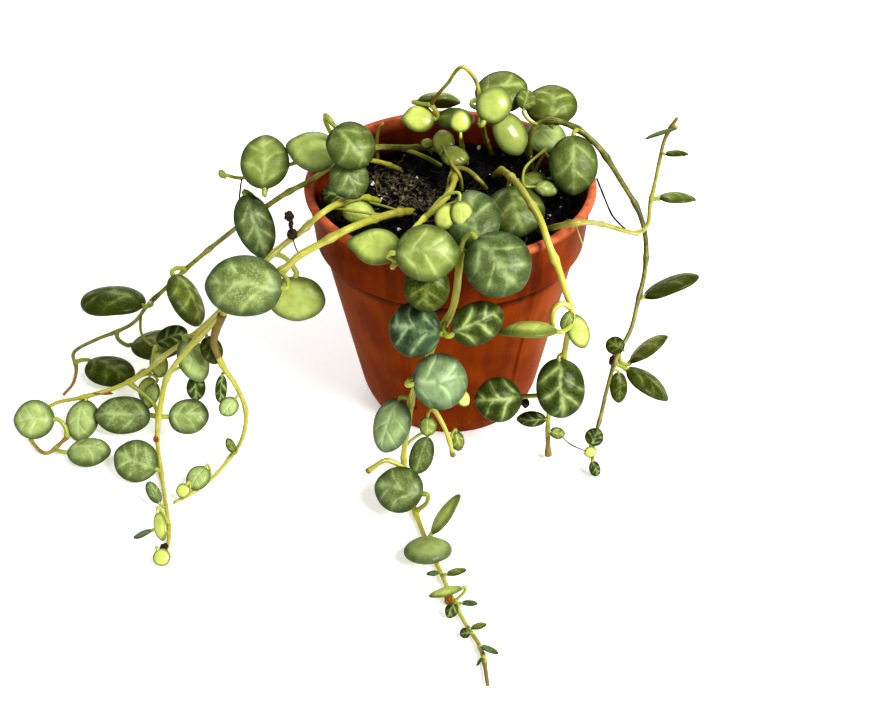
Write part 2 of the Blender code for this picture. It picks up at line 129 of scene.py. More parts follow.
# How old (0 lime, 1 brown) and how bright (0 olive, 1 pale lime) each stem is, and how old its
# tip looks
STEM_AGES = {
    "front": (0.15, 0.95, 0.9), "front_right": (0.2, 0.85, 0.8),
    "right_arch": (0.35, 0.22, 0.3), "right_upright": (0.6, 0.5, 0.5),
    "left_long": (0.3, 0.40, 0.65), "left_middle": (0.35, 1.0, 0.6),
    "left_low": (0.35, 0.65, 0.2), "front_left": (0.1, 0.8, 0.1),
    "top_arch": (0.3, 0.5, 0.7), "centre_sprout": (0.4, 0.6, 0.2),
    "upper_left": (0.4, 0.55, 0.1),
}

# Paleness, warmth, mottling, bloom and strength of the veins of each leaf tone, and the leaves
# that have it
TONES = {
    "olive": (0.18, 0.90, 0.35, 0.00, 0.7),
    "moss": (0.17, 0.72, 0.35, 0.05, 0.6),
    "fern": (0.13, 0.52, 0.40, 0.15, 0.65),
    "lime": (0.36, 0.80, 0.30, 0.05, 0.7),
    "glow": (1.00, 0.75, 0.15, 0.10, 0.5),
    "yellow": (0.85, 0.85, 0.30, 0.00, 0.4),
    "cream": (0.78, 0.80, 0.50, 0.20, 0.2),
    "sage": (0.50, 0.55, 0.90, 0.20, 0.9),
    "pale": (0.74, 0.55, 0.90, 0.25, 0.9),
    "grape": (0.72, 0.85, 0.05, 0.00, 0.0),
    "berry": (0.48, 0.85, 0.05, 0.00, 0.0),
    "dusk": (0.56, 0.60, 0.20, 0.30, 0.1),
    "grey": (0.20, 0.60, 0.55, 0.20, 0.7),
    "ash": (0.16, 0.45, 0.50, 0.30, 0.0),
    "blue": (0.02, 0.15, 0.25, 0.15, 1.0),
    "frost": (0.44, 0.20, 0.45, 0.40, 1.0),
    "mint": (0.62, 0.30, 0.50, 0.30, 1.0),
    "dark": (0.00, 0.70, 0.25, 0.00, 0.9),
    "boat": (0.00, 1.00, 0.30, 0.00, 0.3),
    "mottled": (0.30, 0.55, 1.00, 0.15, 0.8),
    "bright": (1.00, 0.95, 0.05, 0.00, 0.2),
}
LEAF_TONES = {
    "lime": ("front_left_2", "centre_sprout_1", "upper_left_1"),
    "glow": ("upper_left_2", "top_arch_1"),
    "yellow": ("front_left_1", "front_right_2"),
    "bright": ("top_arch_2",),
    "cream": ("left_middle_5", "front_9"),
    "dusk": ("front_8",),
    "sage": ("left_middle_2", "left_low_3"),
    "pale": ("left_middle_1", "left_middle_3", "left_middle_6", "right_arch_2"),
    "grape": ("top_arch_3",),
    "berry": ("top_arch_4",),
    "grey": ("front_7", "upper_left_4"),
    "moss": ("upper_left_3", "right_arch_3", "front_right_1"),
    "fern": ("front_3", "front_1", "left_long_5"),
    "blue": ("front_2",),
    "mint": ("front_6",),
    "frost": ("front_5",),
    "dark": ("front_right_3", "front_right_4", "front_4"),
    "boat": ("right_arch_4", "right_arch_6", "left_long_1", "left_long_4", "front_left_3"),
    "mottled": ("left_low_1", "left_middle_4", "left_low_2"),
}

# The rings of a frame leaf, from its tip, that lie above and below its edge, and how far round
# its section they are
UPPER_RING = 3
LOWER_RING = 4
RING_TURN = 3 * math.pi / 7

# How far the tip of a pointed leaf stands out, over its half length
LEAF_POINTS = {
    "leaf_front_left_1": 0.38, "leaf_right_upright_1": 0.20, "leaf_right_arch_6": 0.12,
    "leaf_top_arch_2": 0.20, "leaf_upper_left_2": 0.22, "leaf_left_long_5": 0.12,
}

# Extra thin twigs: thickness at the two ends in mm, age and brightness, and route in mm
TWIGS = {
    "knot": (1.1, 0.9, (0.45, 0.55), (
        (7.5, 6, 48), (6, 3.5, 51.5), (3.5, 6, 52.5), (1, 6.5, 52.5), (0, 5, 51.5), (-0.5, 2, 50.5),
        (-1.5, -0.5, 48))),
    "knot_up": (0.9, 0.6, (0.3, 0.7), (
        (2.5, 7.5, 46), (2, 4.5, 52), (0.5, 6, 53.5), (-0.5, 8.5, 54), (-1.5, 13.5, 54))),
    "seedling": (0.7, 0.6, (0.1, 0.9), ((-4, 23, 46), (-4.5, 19, 49.5), (-5, 18, 51.5))),
    "left_shoot": (1.0, 0.6, (0.1, 0.9), (
        (-16, 20, 46), (-16, 20.5, 51), (-15.5, 20.5, 54), (-14.5, 19.5, 56))),
    "left_bundle": (1.1, 0.8, (0.1, 1.0), (
        (-2, 17, 47), (-6, 17, 49.5), (-12, 19, 50.5), (-17.5, 18, 51), (-21, 14, 50))),
    "sticks": (0.9, 0.6, (0.1, 0.8), (
        (17.5, 11.5, 46), (18.5, 10, 51), (19.5, 9, 54), (20, 8.5, 56))),
    "sticks_left": (0.7, 0.5, (0.1, 0.8), ((15.5, 12.5, 46), (17, 11, 50.5), (17, 9, 54))),
    "left_node": (1.9, 1.3, (0.95, 0.4), (
        (-45.5, -24, 37), (-47.5, -23.5, 32), (-48, -23.5, 29), (-47.5, -23.5, 26))),
    "white_root": (0.5, 0.3, (0.3, 1.0), (
        (21, -10, 46), (22, -13, 51), (23, -15.5, 53.8), (24, -18.5, 54.8), (25, -25.5, 54.6))),
    "red_twig": (0.8, 0.4, (0.5, 0.6), (
        (-20, -3, 46), (-21.5, -6, 51), (-23.5, -11, 54.5), (-25.5, -17, 56), (-28, -18, 55))),
    "loop": (1.2, 1.0, (0.1, 1.0), (
        (23, -29, 42.5), (21.5, -30.5, 44.5), (20, -31, 44), (19.5, -31, 41.5), (20, -30.5, 38))),
}

# Small leaves by the stem or twig that carries them: tone, then the same values as a leaf of
# the frame has: centre (x, y, z), facing (azimuth, elevation), length, width and roll
SMALL_LEAVES = {
    "left_low": (
        ("grey", -60.5, -41, 4.5, 55, 45, 5, 3, 80),
        ("bright", -55, -39.5, 3.5, 0, 45, 3, 3, -120),
        ("olive", -46.5, -27.5, 5, 30, 30, 3.5, 2, 100),
        ("pale", -46, -27, 15.5, 0, 40, 4.5, 4, -130),
        ("dark", -47.5, -25, 18.5, 10, 25, 6, 2.5, -100),
        ("bright", -58, -50, 4, -30, 45, 6, 3, -55),
        ("bright", -56.5, -57.5, 3, 0, 50, 3.5, 3.5, -60),
        ("ash", -61.5, -50.5, 2.5, 55, 115, 4, 2.5, 135),
        ("pale", -52.5, -35.5, 3.5, 0, 60, 5.5, 5, -120),
        ("dark", -24, -1.5, 51, 0, 50, 5.5, 5, 170),
        ("yellow", -18.5, -9.5, 52, 20, 45, 7, 5, -20),
        ("dark", -53.5, -21.5, 16, 10, 30, 5.5, 4, -95),
        ("boat", -49, -22, 26.5, 15, 35, 6, 4.5, -80),
    ),
    "left_middle": (
        ("pale", -65.5, -14, 7.5, 0, 40, 6, 3.5, -110),
        ("yellow", -63.5, -11, 14, 0, 40, 6, 4, -80),
        ("bright", -67, -10.5, 6, 0, 40, 6, 4.5, -95),
    ),
    "left_long": (
        ("dark", -62, -2, 14.5, 10, 35, 7, 5, 15),
    ),
    "front": (
        ("ash", -3.5, -61, 2.5, 15, 110, 2.5, 2, 170),
        ("olive", 1, -61.5, 3.5, 35, 110, 4, 2.5, -25),
        ("yellow", -1, -66.5, 3.5, 45, 110, 6.5, 3, 140),
        ("dark", 0, -70.5, 2.5, -20, 45, 3, 2.5, -100),
        ("ash", 3.5, -68.5, 2.5, -10, 110, 3, 2, 10),
        ("olive", 5, -74.5, 3, 35, 110, 3, 2, -25),
        ("dark", 2.5, -75.5, 2, -20, 45, 2, 2, 200),
        ("ash", 7, -79.5, 2.5, -55, 115, 3.5, 2, 45),
        ("ash", 5, -82, 2, 90, 140, 2, 1, 120),
        ("lime", -4.5, -40.5, 22, 0, 30, 4, 3.5, -90),
        ("olive", 1.5, -36, 14, 20, 30, 4, 3, -90),
        ("grey", -6, -35.5, 9.5, -5, 30, 8, 5, -105),
        ("bright", 2.5, -38.5, 27.5, 40, 20, 4, 3, -60),
    ),
    "front_right": (
        ("dark", 17, -27, 12, 0, 25, 6, 3.5, 180),
        ("olive", 22.5, -28, 9, 20, 30, 3.5, 2.5, -25),
        ("yellow", 25, -30, 37.5, 15, 30, 7, 4.5, -75),
        ("lime", 22.5, -30, 40, -10, 30, 4, 2.5, -110),
    ),
    "right_upright": (
        ("ash", 41, -6, 68, 45, 115, 6.5, 2.5, 145),
        ("boat", 44.5, -6, 63.5, 0, 100, 4.5, 3, 0),
    ),
    "right_arch": (
        ("boat", 35, -14, 21.5, -10, 45, 4, 4, 155),
        ("boat", 36, -19, 14, 15, 30, 6.5, 4, -95),
        ("dark", 30.5, -27, 7, 0, 40, 4, 4, 60),
        ("bright", 29.5, -29.5, 5, 0, 45, 2.5, 2.5, 200),
        ("dark", 30.5, -32, 2.5, 20, 30, 3.5, 2.5, -80),
        ("olive", 15.5, 9, 67.5, 20, 70, 5.5, 4.5, 60),
    ),
    "upper_left": (
        ("lime", -47, 1, 54.5, 0, 45, 2, 1.5, 120),
    ),
    "centre_sprout": (
        ("bright", 2, 2, 66, 0, 30, 4.5, 4.5, 90),
    ),
    "knot_up": (
        ("bright", -1.5, 15, 54, -15, 50, 6, 5, 115),
        ("bright", 1, 11, 53, 10, 55, 6, 5, -15),
    ),
    "seedling": (
        ("bright", -5, 18, 52, 0, 50, 2.5, 3, 90),
    ),
    "sticks": (
        ("lime", 17, 1, 52.5, -10, 40, 6, 4.5, -160),
        ("lime", 19.5, -3, 53.5, 20, 45, 5, 3.5, -20),
    ),
    "front_left": (
        ("yellow", 2, -26, 62, 0, 40, 5, 4.5, -80),
        ("bright", -1, -25.5, 61, -20, 40, 5, 4.5, -120),
    ),
}

# Hair-thin dry roots: thickness and route in mm
HAIRS = {
    "bud_hair": (0.25, ((-31, -18.5, 52.5), (-30.5, -19, 50), (-30, -19, 48.5))),
    "dark_root": (0.4, (
        (30, 0, 54), (31.5, -2, 51), (33, -5, 48.5), (34.5, -7, 47.5), (36, -9, 47))),
    "low_hair": (0.22, ((23.5, -28, 8), (25.5, -28, 5.8), (29, -29, 4.6))),
    "left_hair": (0.3, ((-43, 0.5, 53.5), (-43.5, -1, 50.5), (-44, -1.5, 47), (-44, -1.5, 43.2))),
    "top_black": (0.7, ((1.4, 9, 74), (0.2, 9.6, 71.8), (-0.8, 10.2, 69.8))),
}

# Dried scraps: centre (x, y, z), half lengths across, towards the back and up, in mm
SCRAPS = {
    "bud_head": ((-31.2, -19, 57), (0.9, 0.6, 1.2)),
    "bud_neck": ((-31, -18.6, 54.8), (0.45, 0.45, 1.3)),
    "bud_knot": ((-31, -18, 52.2), (1.0, 0.9, 1.0)),
    "front_scrap": ((15.5, -27, 16.5), (0.8, 0.6, 1.2)),
    "right_scrap": ((34.7, -15, 18.2), (0.8, 0.7, 1.3)),
    "tip_scrap": ((-56.8, -53.5, 1.4), (0.8, 1.0, 0.9)),
    "low_scrap": ((-58, -47, 1.6), (0.5, 1.0, 0.8)),
    "soil_scrap": ((-20.5, -6.5, 50.5), (1.4, 1.1, 0.9)),
}
RUST_SCRAPS = {
    "front_rust": ((-0.5, -66.5, 1.3), (0.8, 1.2, 0.7)),
    "left_rust": ((-75.5, -14, 8.2), (1.9, 0.4, 0.4)),
    "joint_rust": ((-62.2, -27, 6.5), (0.6, 0.7, 0.9)),
}

# Stems: thickness at the two ends and the routes in mm, of which the first is the main one
STEMS = {
    "front": (2.0, 0.8, (
        ((2.5, -1.5, 48.5), (2.5, -18, 54.5), (2, -26, 56), (1.5, -32.5, 55.5), (1, -34, 50),
         (0, -34.5, 45.5), (-2.5, -35, 40.5), (-5, -35.5, 33.5), (-7.5, -36, 26.5),
         (-8.5, -36.5, 19), (-9.5, -37, 11), (-9, -38, 4.5), (-7.5, -42.5, 1.5), (-4.5, -52.5, 1),
         (-2, -59.5, 1), (0, -65.5, 1), (2.5, -72, 1), (5.5, -78.5, 1), (6.5, -86.5, 1)),
        ((-7, -36, 27.5), (-4, -37, 24.5), (-2, -37.5, 21), (-0.5, -37.5, 16.5), (0.5, -37, 11)),
        ((-9.5, -37.5, 8), (-11.5, -38, 10), (-13.5, -38, 10.5), (-17, -38, 7.5)))),
    "front_right": (1.9, 1.1, (
        ((10, 11, 48.5), (11, 4.5, 53), (13, -4.5, 56), (15, -14.5, 58), (17, -22, 58),
         (18.5, -26, 55), (20.5, -27.5, 50.5), (22, -28.5, 46), (23.5, -28.5, 41), (23, -28, 34),
         (22.5, -27, 26.5), (21, -26.5, 17), (20.5, -26.5, 10), (21, -26.5, 1.5)),)),
    "right_arch": (1.6, 0.8, (
        ((17.5, 12.5, 48.5), (16.5, 10, 55), (16.5, 8, 60), (19.5, 8, 63), (24.5, 6, 63),
         (28.5, 4, 61), (31.5, 3, 58), (35.5, 2, 52), (39.5, 1, 45.5), (41.5, 0, 39),
         (41.5, -3, 33), (40, -7, 27.5), (38.5, -11, 23.5), (35.5, -15, 19.5), (33.5, -19, 14.5),
         (32, -23, 9.5), (30.5, -27, 6), (30, -30, 3), (30, -32, 1)),)),
    "right_upright": (1.5, 0.8, (
        ((18.5, -11.5, 48.5), (19.5, -20, 55), (22, -23.5, 58), (25, -23.5, 58.5), (30, -15, 52.5),
         (35, -12, 49), (38.5, -8, 46), (40.5, -6, 47), (40.5, -6, 51.5), (41, -6, 57),
         (41.5, -5.5, 62), (42, -5, 65.5), (43, -5, 68.5), (44, -5, 70.5)),)),
    "left_long": (1.5, 0.8, (
        ((-3, 21.5, 48.5), (-10, 18, 51), (-16.5, 14, 53), (-23, 6, 54.5), (-28.5, -2.5, 55),
         (-34, -2, 51.5), (-39, -1.5, 47.5), (-44.5, -1, 43), (-51.5, 0, 36.5), (-57.5, 1, 30.5),
         (-62.5, 2, 25), (-67, 2, 20.5), (-71, 3, 15), (-75.5, 4, 11.5), (-81, 4, 9), (-87, 5, 4.5),
         (-86.5, 3, 1.5), (-86, -2.5, 1.5), (-87.5, -6, 1)),)),
    "left_middle": (1.5, 0.9, (
        ((-15.5, 0.5, 48.5), (-18.5, -7.5, 54), (-22, -14.5, 57), (-25, -20, 58), (-29, -18, 53),
         (-33, -16, 48.5), (-36.5, -15, 44.5), (-42, -15, 38), (-48.5, -15, 30.5),
         (-54.5, -15, 24.5), (-61, -14.5, 19), (-66.5, -14, 13.5), (-73.5, -14, 9.5),
         (-81, -13.5, 6.5), (-87, -13, 4.5), (-91, -15, 2.5), (-92, -19.5, 1), (-87, -25.5, 1),
         (-83.5, -20.5, 1)),)),
    "left_low": (1.9, 0.9, (
        ((-9, -4, 48.5), (-13.5, -14.5, 54), (-19, -24, 57.5), (-25, -25, 54.5), (-29, -26, 52.5),
         (-32, -26, 49.5), (-38, -25, 44.5), (-45.5, -24, 37), (-51, -23, 30.5), (-55, -22.5, 25.5),
         (-59, -22.5, 19.5), (-61, -23.5, 13), (-62, -26.5, 7), (-61.5, -30, 1.5), (-59, -39.5, 1),
         (-56.5, -49.5, 1), (-56.5, -56, 1)),
        ((-45.5, -24, 36.5), (-48, -23.5, 30.5), (-47, -23.5, 24), (-44.5, -24, 18.5),
         (-43, -24.5, 12), (-44, -26.5, 6.5), (-47, -26.5, 1), (-50, -33, 1), (-54, -38, 1),
         (-57, -40.5, 1)))),
    "front_left": (1.8, 1.0, (
        ((1, 15, 48.5), (0.5, -2.5, 54), (-2, -14.5, 57), (-6, -24.5, 59), (-8, -29.5, 59),
         (-9.5, -31, 56), (-11, -33, 54.5)),)),
    "top_arch": (1.3, 0.8, (
        ((9, 20.5, 48.5), (7.5, 15, 55), (6.5, 5.5, 64), (6, 6, 67.5), (5.5, 7, 71), (4.5, 8, 73),
         (2.5, 8, 75), (1, 9, 73.5), (-0.5, 10, 70.5), (-2.5, 11, 67.5), (-4, 12, 64.5)),)),
    "centre_sprout": (1.2, 0.8, (
        ((3.5, 17, 48.5), (2.5, 13.5, 54), (2, 6, 62)),)),
    "upper_left": (1.3, 0.8, (
        ((-11.5, 13.5, 48.5), (-15, 5, 55), (-19.5, -0.5, 59), (-24.5, 1, 58.5), (-30.5, 1, 57.5),
         (-37, 1, 55), (-43, 1, 53.5), (-47, 1, 54.5)),)),
}


# ---------------------------------------------------------------- sizes and colours

def colour(name, description, default):
    return FloatVectorProperty(name=name, description=description, default=default,
                               subtype="COLOR", min=0.0, max=1.0)


def length(name, description, default):
    return FloatProperty(name=name, description=description, default=default,
                         subtype="DISTANCE", unit="LENGTH")


def share(name, description, default):
    return FloatProperty(name=name, description=description, default=default,
                         subtype="FACTOR", min=0.0, max=1.0)


class StageLooks(bpy.types.PropertyGroup):
    floor: colour("Floor", "Colour of the plain floor", (0.86, 0.86, 0.86))
    floor_glow: share("Floor glow", "Light that the floor gives off", 0.28)
    floor_size: length("Floor size", "Side of the square floor", 6.0)
    sky: FloatProperty(name="Sky", description="Strength of the even light all round", default=0.36)
    key_watts: FloatProperty(name="Key", description="Power of the large light on the right",
                             default=7.2, unit="POWER")
    fill_watts: FloatProperty(name="Fill", description="Power of the light on the left",
                              default=0.5, unit="POWER")
    back_watts: FloatProperty(name="Back", description="Power of the light behind",
                              default=1.6, unit="POWER")
    aim: FloatVectorProperty(name="Aim", description="Place that the camera looks at",
                             default=(-0.00144, 0.0, 0.00772), subtype="TRANSLATION",
                             unit="LENGTH")
    distance: length("Distance", "From the camera to the place it looks at", 0.3)
    elevation: FloatProperty(name="Elevation", description="Camera's height above the horizon",
                             default=math.radians(38.47), subtype="ANGLE", unit="ROTATION")
    lens: FloatProperty(name="Lens", description="Focal length in millimetres", default=53.64)


class PotLooks(bpy.types.PropertyGroup):
    plastic: colour("Plastic", "Colour of the moulded plastic", (0.235, 0.050, 0.002))
    # This darker colour also paints shade over the collar band.
    shade: colour("Shade", "Darker mottling of the plastic", (0.12, 0.019, 0.001))
    # Paler top of the rolled rim: partly wear from rubbing, partly a painted highlight.
    rim: colour("Rim", "Rubbed plastic along the rim", (0.62, 0.20, 0.11))
    dust: colour("Dust", "Pale specks and splashes", (0.62, 0.44, 0.30))
    # Painted shade: this dark colour stands for the shadow under the collar step and in the flutes.
    painted_groove_shade: colour("Grime", "Grime in the flutes and under the collar", (0.035, 0.006, 0.001))
    wall: length("Wall", "Thickness of the wall", 1.0 * MM)
    bead: length("Bead", "Radius of the rolled rim", 1.0 * MM)
    collar_top: length("Collar top", "Radius of the collar under the rim", 29.3 * MM)
    collar_bottom: length("Collar bottom", "Radius at the collar's lower edge", 28.2 * MM)
    collar_height: length("Collar height", "Height of the collar's lower edge", 41.5 * MM)
    wall_top: length("Wall top", "Radius of the wall under the collar", 27.0 * MM)
    wall_bottom: length("Wall bottom", "Radius of the wall above the foot", 19.8 * MM)
    foot: length("Foot", "Radius of the flat base", 17.6 * MM)
    foot_height: length("Foot height", "Height of the inward turn at the base", 5.0 * MM)
    floor: length("Floor", "Thickness of the base", 1.2 * MM)
    flute_width: length("Flute width", "Width of each upright flute", 2.2 * MM)
    flute_depth: length("Flute depth", "Depth of each upright flute", 0.4 * MM)
    drain: length("Drain", "Radius of a drain hole", 2.2 * MM)
    drain_ring: length("Drain ring", "Radius of the ring of drain holes", 12.5 * MM)
    steps: IntProperty(name="Steps", description="Steps round the pot", default=360)


class SoilLooks(bpy.types.PropertyGroup):
    peat: colour("Peat", "Colour of damp peat", (0.0022, 0.0018, 0.0018))
    clod: colour("Clod", "Colour of dry clods and bark", (0.018, 0.014, 0.010))
    fibre: colour("Fibre", "Colour of fibres and dry roots", (0.15, 0.14, 0.06))
    perlite: colour("Perlite", "Colour of the white grains", (0.80, 0.80, 0.77))
    crumbs: IntProperty(name="Crumbs", description="Number of loose crumbs", default=620)
    grains: IntProperty(name="Grains", description="Number of white grains", default=170)
    fibres: IntProperty(name="Fibres", description="Number of fibres", default=26)
    relief: length("Relief", "Height of the lumps", 1.1 * MM)
    dry: colour("Dry clod", "Colour of the driest clods", (0.27, 0.22, 0.16))
    clods: IntProperty(name="Clods", description="Number of clods in a heap", default=150)
    roots: IntProperty(name="Roots", description="Number of fine roots in a heap", default=26)
    banked: IntProperty(name="Banked", description="Crumbs banked up round each stem", default=36)


class StemLooks(bpy.types.PropertyGroup):
    young: colour("Young", "Colour of young growth", (0.37, 0.36, 0.050))
    green: colour("Green", "Colour of settled growth", (0.075, 0.085, 0.010))
    old: colour("Old", "Colour of old bark", (0.19, 0.13, 0.040))
    joint: colour("Joint", "Reddish colour at the joints", (0.25, 0.075, 0.022))
    # Pale streak colour, which also stands for painted highlights on the stems.
    pale: colour("Pale", "Waxy pale streaks", (0.70, 0.64, 0.36))
    sides: IntProperty(name="Sides", description="Sides of a stem", default=14)
    swelling: share("Swelling", "How much a joint is thicker than its stem", 0.36)
    slimness: share("Slimness", "Radius over the frame's radius", 0.90)


class LeafLooks(bpy.types.PropertyGroup):
    deep_cool: colour("Deep, cool", "Dark pads of a bluish leaf", (0.014, 0.037, 0.013))
    deep_warm: colour("Deep, warm", "Dark pads of a yellowish leaf", (0.036, 0.048, 0.004))
    pale_cool: colour("Pale, cool", "Veins of a bluish leaf", (0.34, 0.46, 0.26))
    pale_warm: colour("Pale, warm", "Veins of a yellowish leaf", (0.52, 0.59, 0.145))
    under: colour("Underside", "Pale underside", (0.40, 0.38, 0.06))
    vein: colour("Vein", "Palest part of a vein", (0.52, 0.66, 0.40))
    bloom: colour("Bloom", "Waxy bloom", (0.30, 0.38, 0.30))
    stalk: colour("Stalk", "Leaf stalk", (0.30, 0.33, 0.055))
    thickness: share("Thickness", "Half the thickness over the width", 0.115)
    crown: share("Crown", "How far the edge drops over the width", 0.10)
    relief: share("Relief", "Height of the pads between the veins over the width", 0.016)
    sides: IntProperty(name="Sides", description="Points round a leaf", default=48)
    rings: IntProperty(name="Rings", description="Rings from the middle of one side to the other",
                       default=26)


# ---------------------------------------------------------------- finishes

class Value:
    """A node's output, which sums and products can be written with."""

    def __init__(self, finish, socket):
        self.finish = finish
        self.socket = socket

    def math(self, operation, *values):
        return self.finish.node("ShaderNodeMath", {"operation": operation}, values)

    def output(self, key):
        return Value(self.finish, self.socket.node.outputs[key])

    def __add__(self, other):
        return self.math("ADD", self, other)

    __radd__ = __add__

    def __mul__(self, other):
        return self.math("MULTIPLY", self, other)

    __rmul__ = __mul__

    def __sub__(self, other):
        return self.math("SUBTRACT", self, other)

    def __rsub__(self, other):
        return self.math("SUBTRACT", other, self)

    def __truediv__(self, other):
        return self.math("DIVIDE", self, other)

    def __abs__(self):
        return self.math("ABSOLUTE", self)

    def __round__(self):
        return self.math("ROUND", self)


class Finish:
    """A material and the nodes that its looks are made of."""

    def __init__(self, name, roughness=0.5, **constants):
        self.material = bpy.data.materials.new(name)
        self.material.use_nodes = True
        self.tree = self.material.node_tree
        self.shader = self.tree.nodes["Principled BSDF"]
        self.feed("Roughness", roughness)
        for key, value in constants.items():
            self.feed(key.replace("_", " ").title().replace("Ior", "IOR"), value)

    def node(self, kind, settings=None, inputs=(), output=0):
        """Adds a node, with its settings made first, and gives one of its outputs."""
        made = self.tree.nodes.new(kind)
        for key, value in (settings or {}).items():
            setattr(made, key, value)
        for key, value in inputs.items() if isinstance(inputs, dict) else enumerate(inputs):
            self.connect(made.inputs[key], value)
        return Value(self, made.outputs[output])

    def connect(self, socket, value):
        if isinstance(value, Value):
            self.tree.links.new(value.socket, socket)
        elif socket.type == "RGBA":
            socket.default_value = (*value, 1.0)
        else:
            socket.default_value = value

    def feed(self, socket, value):
        self.connect(self.shader.inputs[socket], value)

    def mix(self, first, second, factor):
        return self.node("ShaderNodeMix", {"data_type": "RGBA"},
                         {0: factor, 6: first, 7: second}, output=2)

    def place(self):
        return self.node("ShaderNodeTexCoord", output="Object")

    def stretched(self, where, scale):
        return self.node("ShaderNodeVectorMath", {"operation": "MULTIPLY"}, [where, scale])

    def noise(self, where, size, detail=2.0, roughness=0.5, distortion=0.0):
        """Noise whose lumps are about this size, in the units of the place."""
        return self.node("ShaderNodeTexNoise", None, {
            "Vector": where, "Scale": 1.0 / size, "Detail": detail, "Roughness": roughness,
            "Distortion": distortion})

    def rise(self, value, low, high):
        """0 below low, 1 above high, and smooth between."""
        return self.node("ShaderNodeMapRange", {"interpolation_type": "SMOOTHSTEP"},
                         {"Value": value, "From Min": low, "From Max": high})

    def carried(self, name, output="Vector"):
        return self.node("ShaderNodeAttribute",
                         {"attribute_type": "GEOMETRY", "attribute_name": name}, output=output)

    def parts(self, vector):
        first = self.node("ShaderNodeSeparateXYZ", None, [vector])
        return first, first.output(1), first.output(2)

    def bump(self, height, distance):
        normal = self.node("ShaderNodeBump", None,
                           {"Strength": 1.0, "Distance": distance, "Height": height})
        self.feed("Normal", normal)


def floor_finish(looks):
    finish = Finish("matt_floor", roughness=0.9)
    cloud = finish.noise(finish.place(), 0.4)
    dim = tuple(0.985 * channel for channel in looks.floor)
    finish.feed("Base Color", finish.mix(tuple(looks.floor), dim, cloud))
    finish.feed("Emission Color", (1.0, 1.0, 1.0))
    finish.feed("Emission Strength", looks.floor_glow)
    return finish.material


def plastic_finish(looks):
    """Moulded plastic: mottled, streaked and dusty at the foot; wear and a painted highlight on the
    rim; painted shade in the flutes, under the collar step and on the collar.
    """
    finish = Finish("moulded_terracotta_plastic", specular_ior_level=0.035)
    where = finish.place()
    high = finish.parts(where)[2]
    streaks = finish.noise(finish.stretched(where, (1.0, 1.0, 0.12)), 3.2 * MM, detail=3.0)
    clouds = finish.noise(where, 9.0 * MM, detail=2.0)
    shade = finish.rise(streaks * 0.5 + clouds * 0.5, 0.42, 0.62)
    # Paler top of the rolled rim, from the rim share: partly wear, partly a painted highlight,
    # broken up by fine noise.
    rim_breakup = finish.rise(finish.noise(where, 1.6 * MM), 0.25, 0.7)
    rim_wear_and_highlight = finish.carried("rim", "Fac") * (0.5 + 0.5 * rim_breakup)
    specks = finish.rise(finish.noise(where, 0.55 * MM, detail=3.0), 0.66, 0.72)
    low = 1 - finish.rise(high, 1.0 * MM, 9.0 * MM)
    near_rim = finish.rise(high, 50.0 * MM, 53.5 * MM)
    dust = specks * (0.05 + low * 0.75 + near_rim * 0.45)
    # Painted shade: the collar band, from just above its lower edge to just under the rim, is mixed
    # towards the shade colour.
    under_rim = 1 - finish.rise(high, 51.0 * MM, 53.0 * MM)
    collar = finish.rise(high, 41.3 * MM, 42.0 * MM) * under_rim
    body = finish.mix(tuple(looks.plastic), tuple(looks.shade), shade * 0.55 + collar * 0.35)
    body = finish.mix(body, tuple(looks.rim), rim_wear_and_highlight * 0.7)
    # Painted shade in the flutes and under the collar step, taken from the groove share and made
    # patchy by noise.
    damp = finish.rise(clouds + streaks * 0.5, 0.45, 0.85)
    groove_shade_mask = finish.carried("groove", "Fac") * (0.6 + 0.4 * damp)
    body = finish.mix(body, tuple(looks.painted_groove_shade), groove_shade_mask * 0.9)
    finish.feed("Base Color", finish.mix(body, tuple(looks.dust), dust))
    finish.feed("Roughness", 0.40 + clouds * 0.14 + dust * 0.3)
    grain = finish.noise(where, 0.35 * MM, detail=2.0)
    finish.bump(streaks * 0.6 + grain * 0.25 + specks * dust, 0.09 * MM)
    return finish.material


def peat_finish(looks):
    """Damp peat: near black, with dry brown clods and fine grains."""
    finish = Finish("damp_peat", roughness=0.85, specular_ior_level=0.25)
    where = finish.place()
    clods = finish.rise(finish.noise(where, 2.6 * MM, detail=5.0, roughness=0.65), 0.50, 0.64)
    grains = finish.noise(where, 0.35 * MM, detail=3.0, roughness=0.7)
    specks = finish.rise(grains, 0.64, 0.70)
    body = finish.mix(tuple(looks.peat), tuple(looks.clod), clods * (0.25 + grains))
    finish.feed("Base Color", finish.mix(body, tuple(looks.fibre), specks * 0.6))
    finish.feed("Roughness", 0.42 + clods * 0.4)
    finish.bump(grains + clods * 0.5, 0.35 * MM)
    return finish.material


def crumb_finish(name, main, second, rough, grain):
    """Loose grains: two colours by the grain and a rough skin."""
    finish = Finish(name, specular_ior_level=0.15)
    where = finish.place()
    patches = finish.rise(finish.noise(where, 1.4 * MM, detail=3.0), 0.40, 0.62)
    fine = finish.noise(where, grain, detail=3.0, roughness=0.7)
    finish.feed("Base Color", finish.mix(tuple(main), tuple(second), patches * (0.4 + fine * 0.6)))
    finish.feed("Roughness", rough + fine * 0.15)
    finish.bump(fine, 0.2 * MM)
    return finish.material


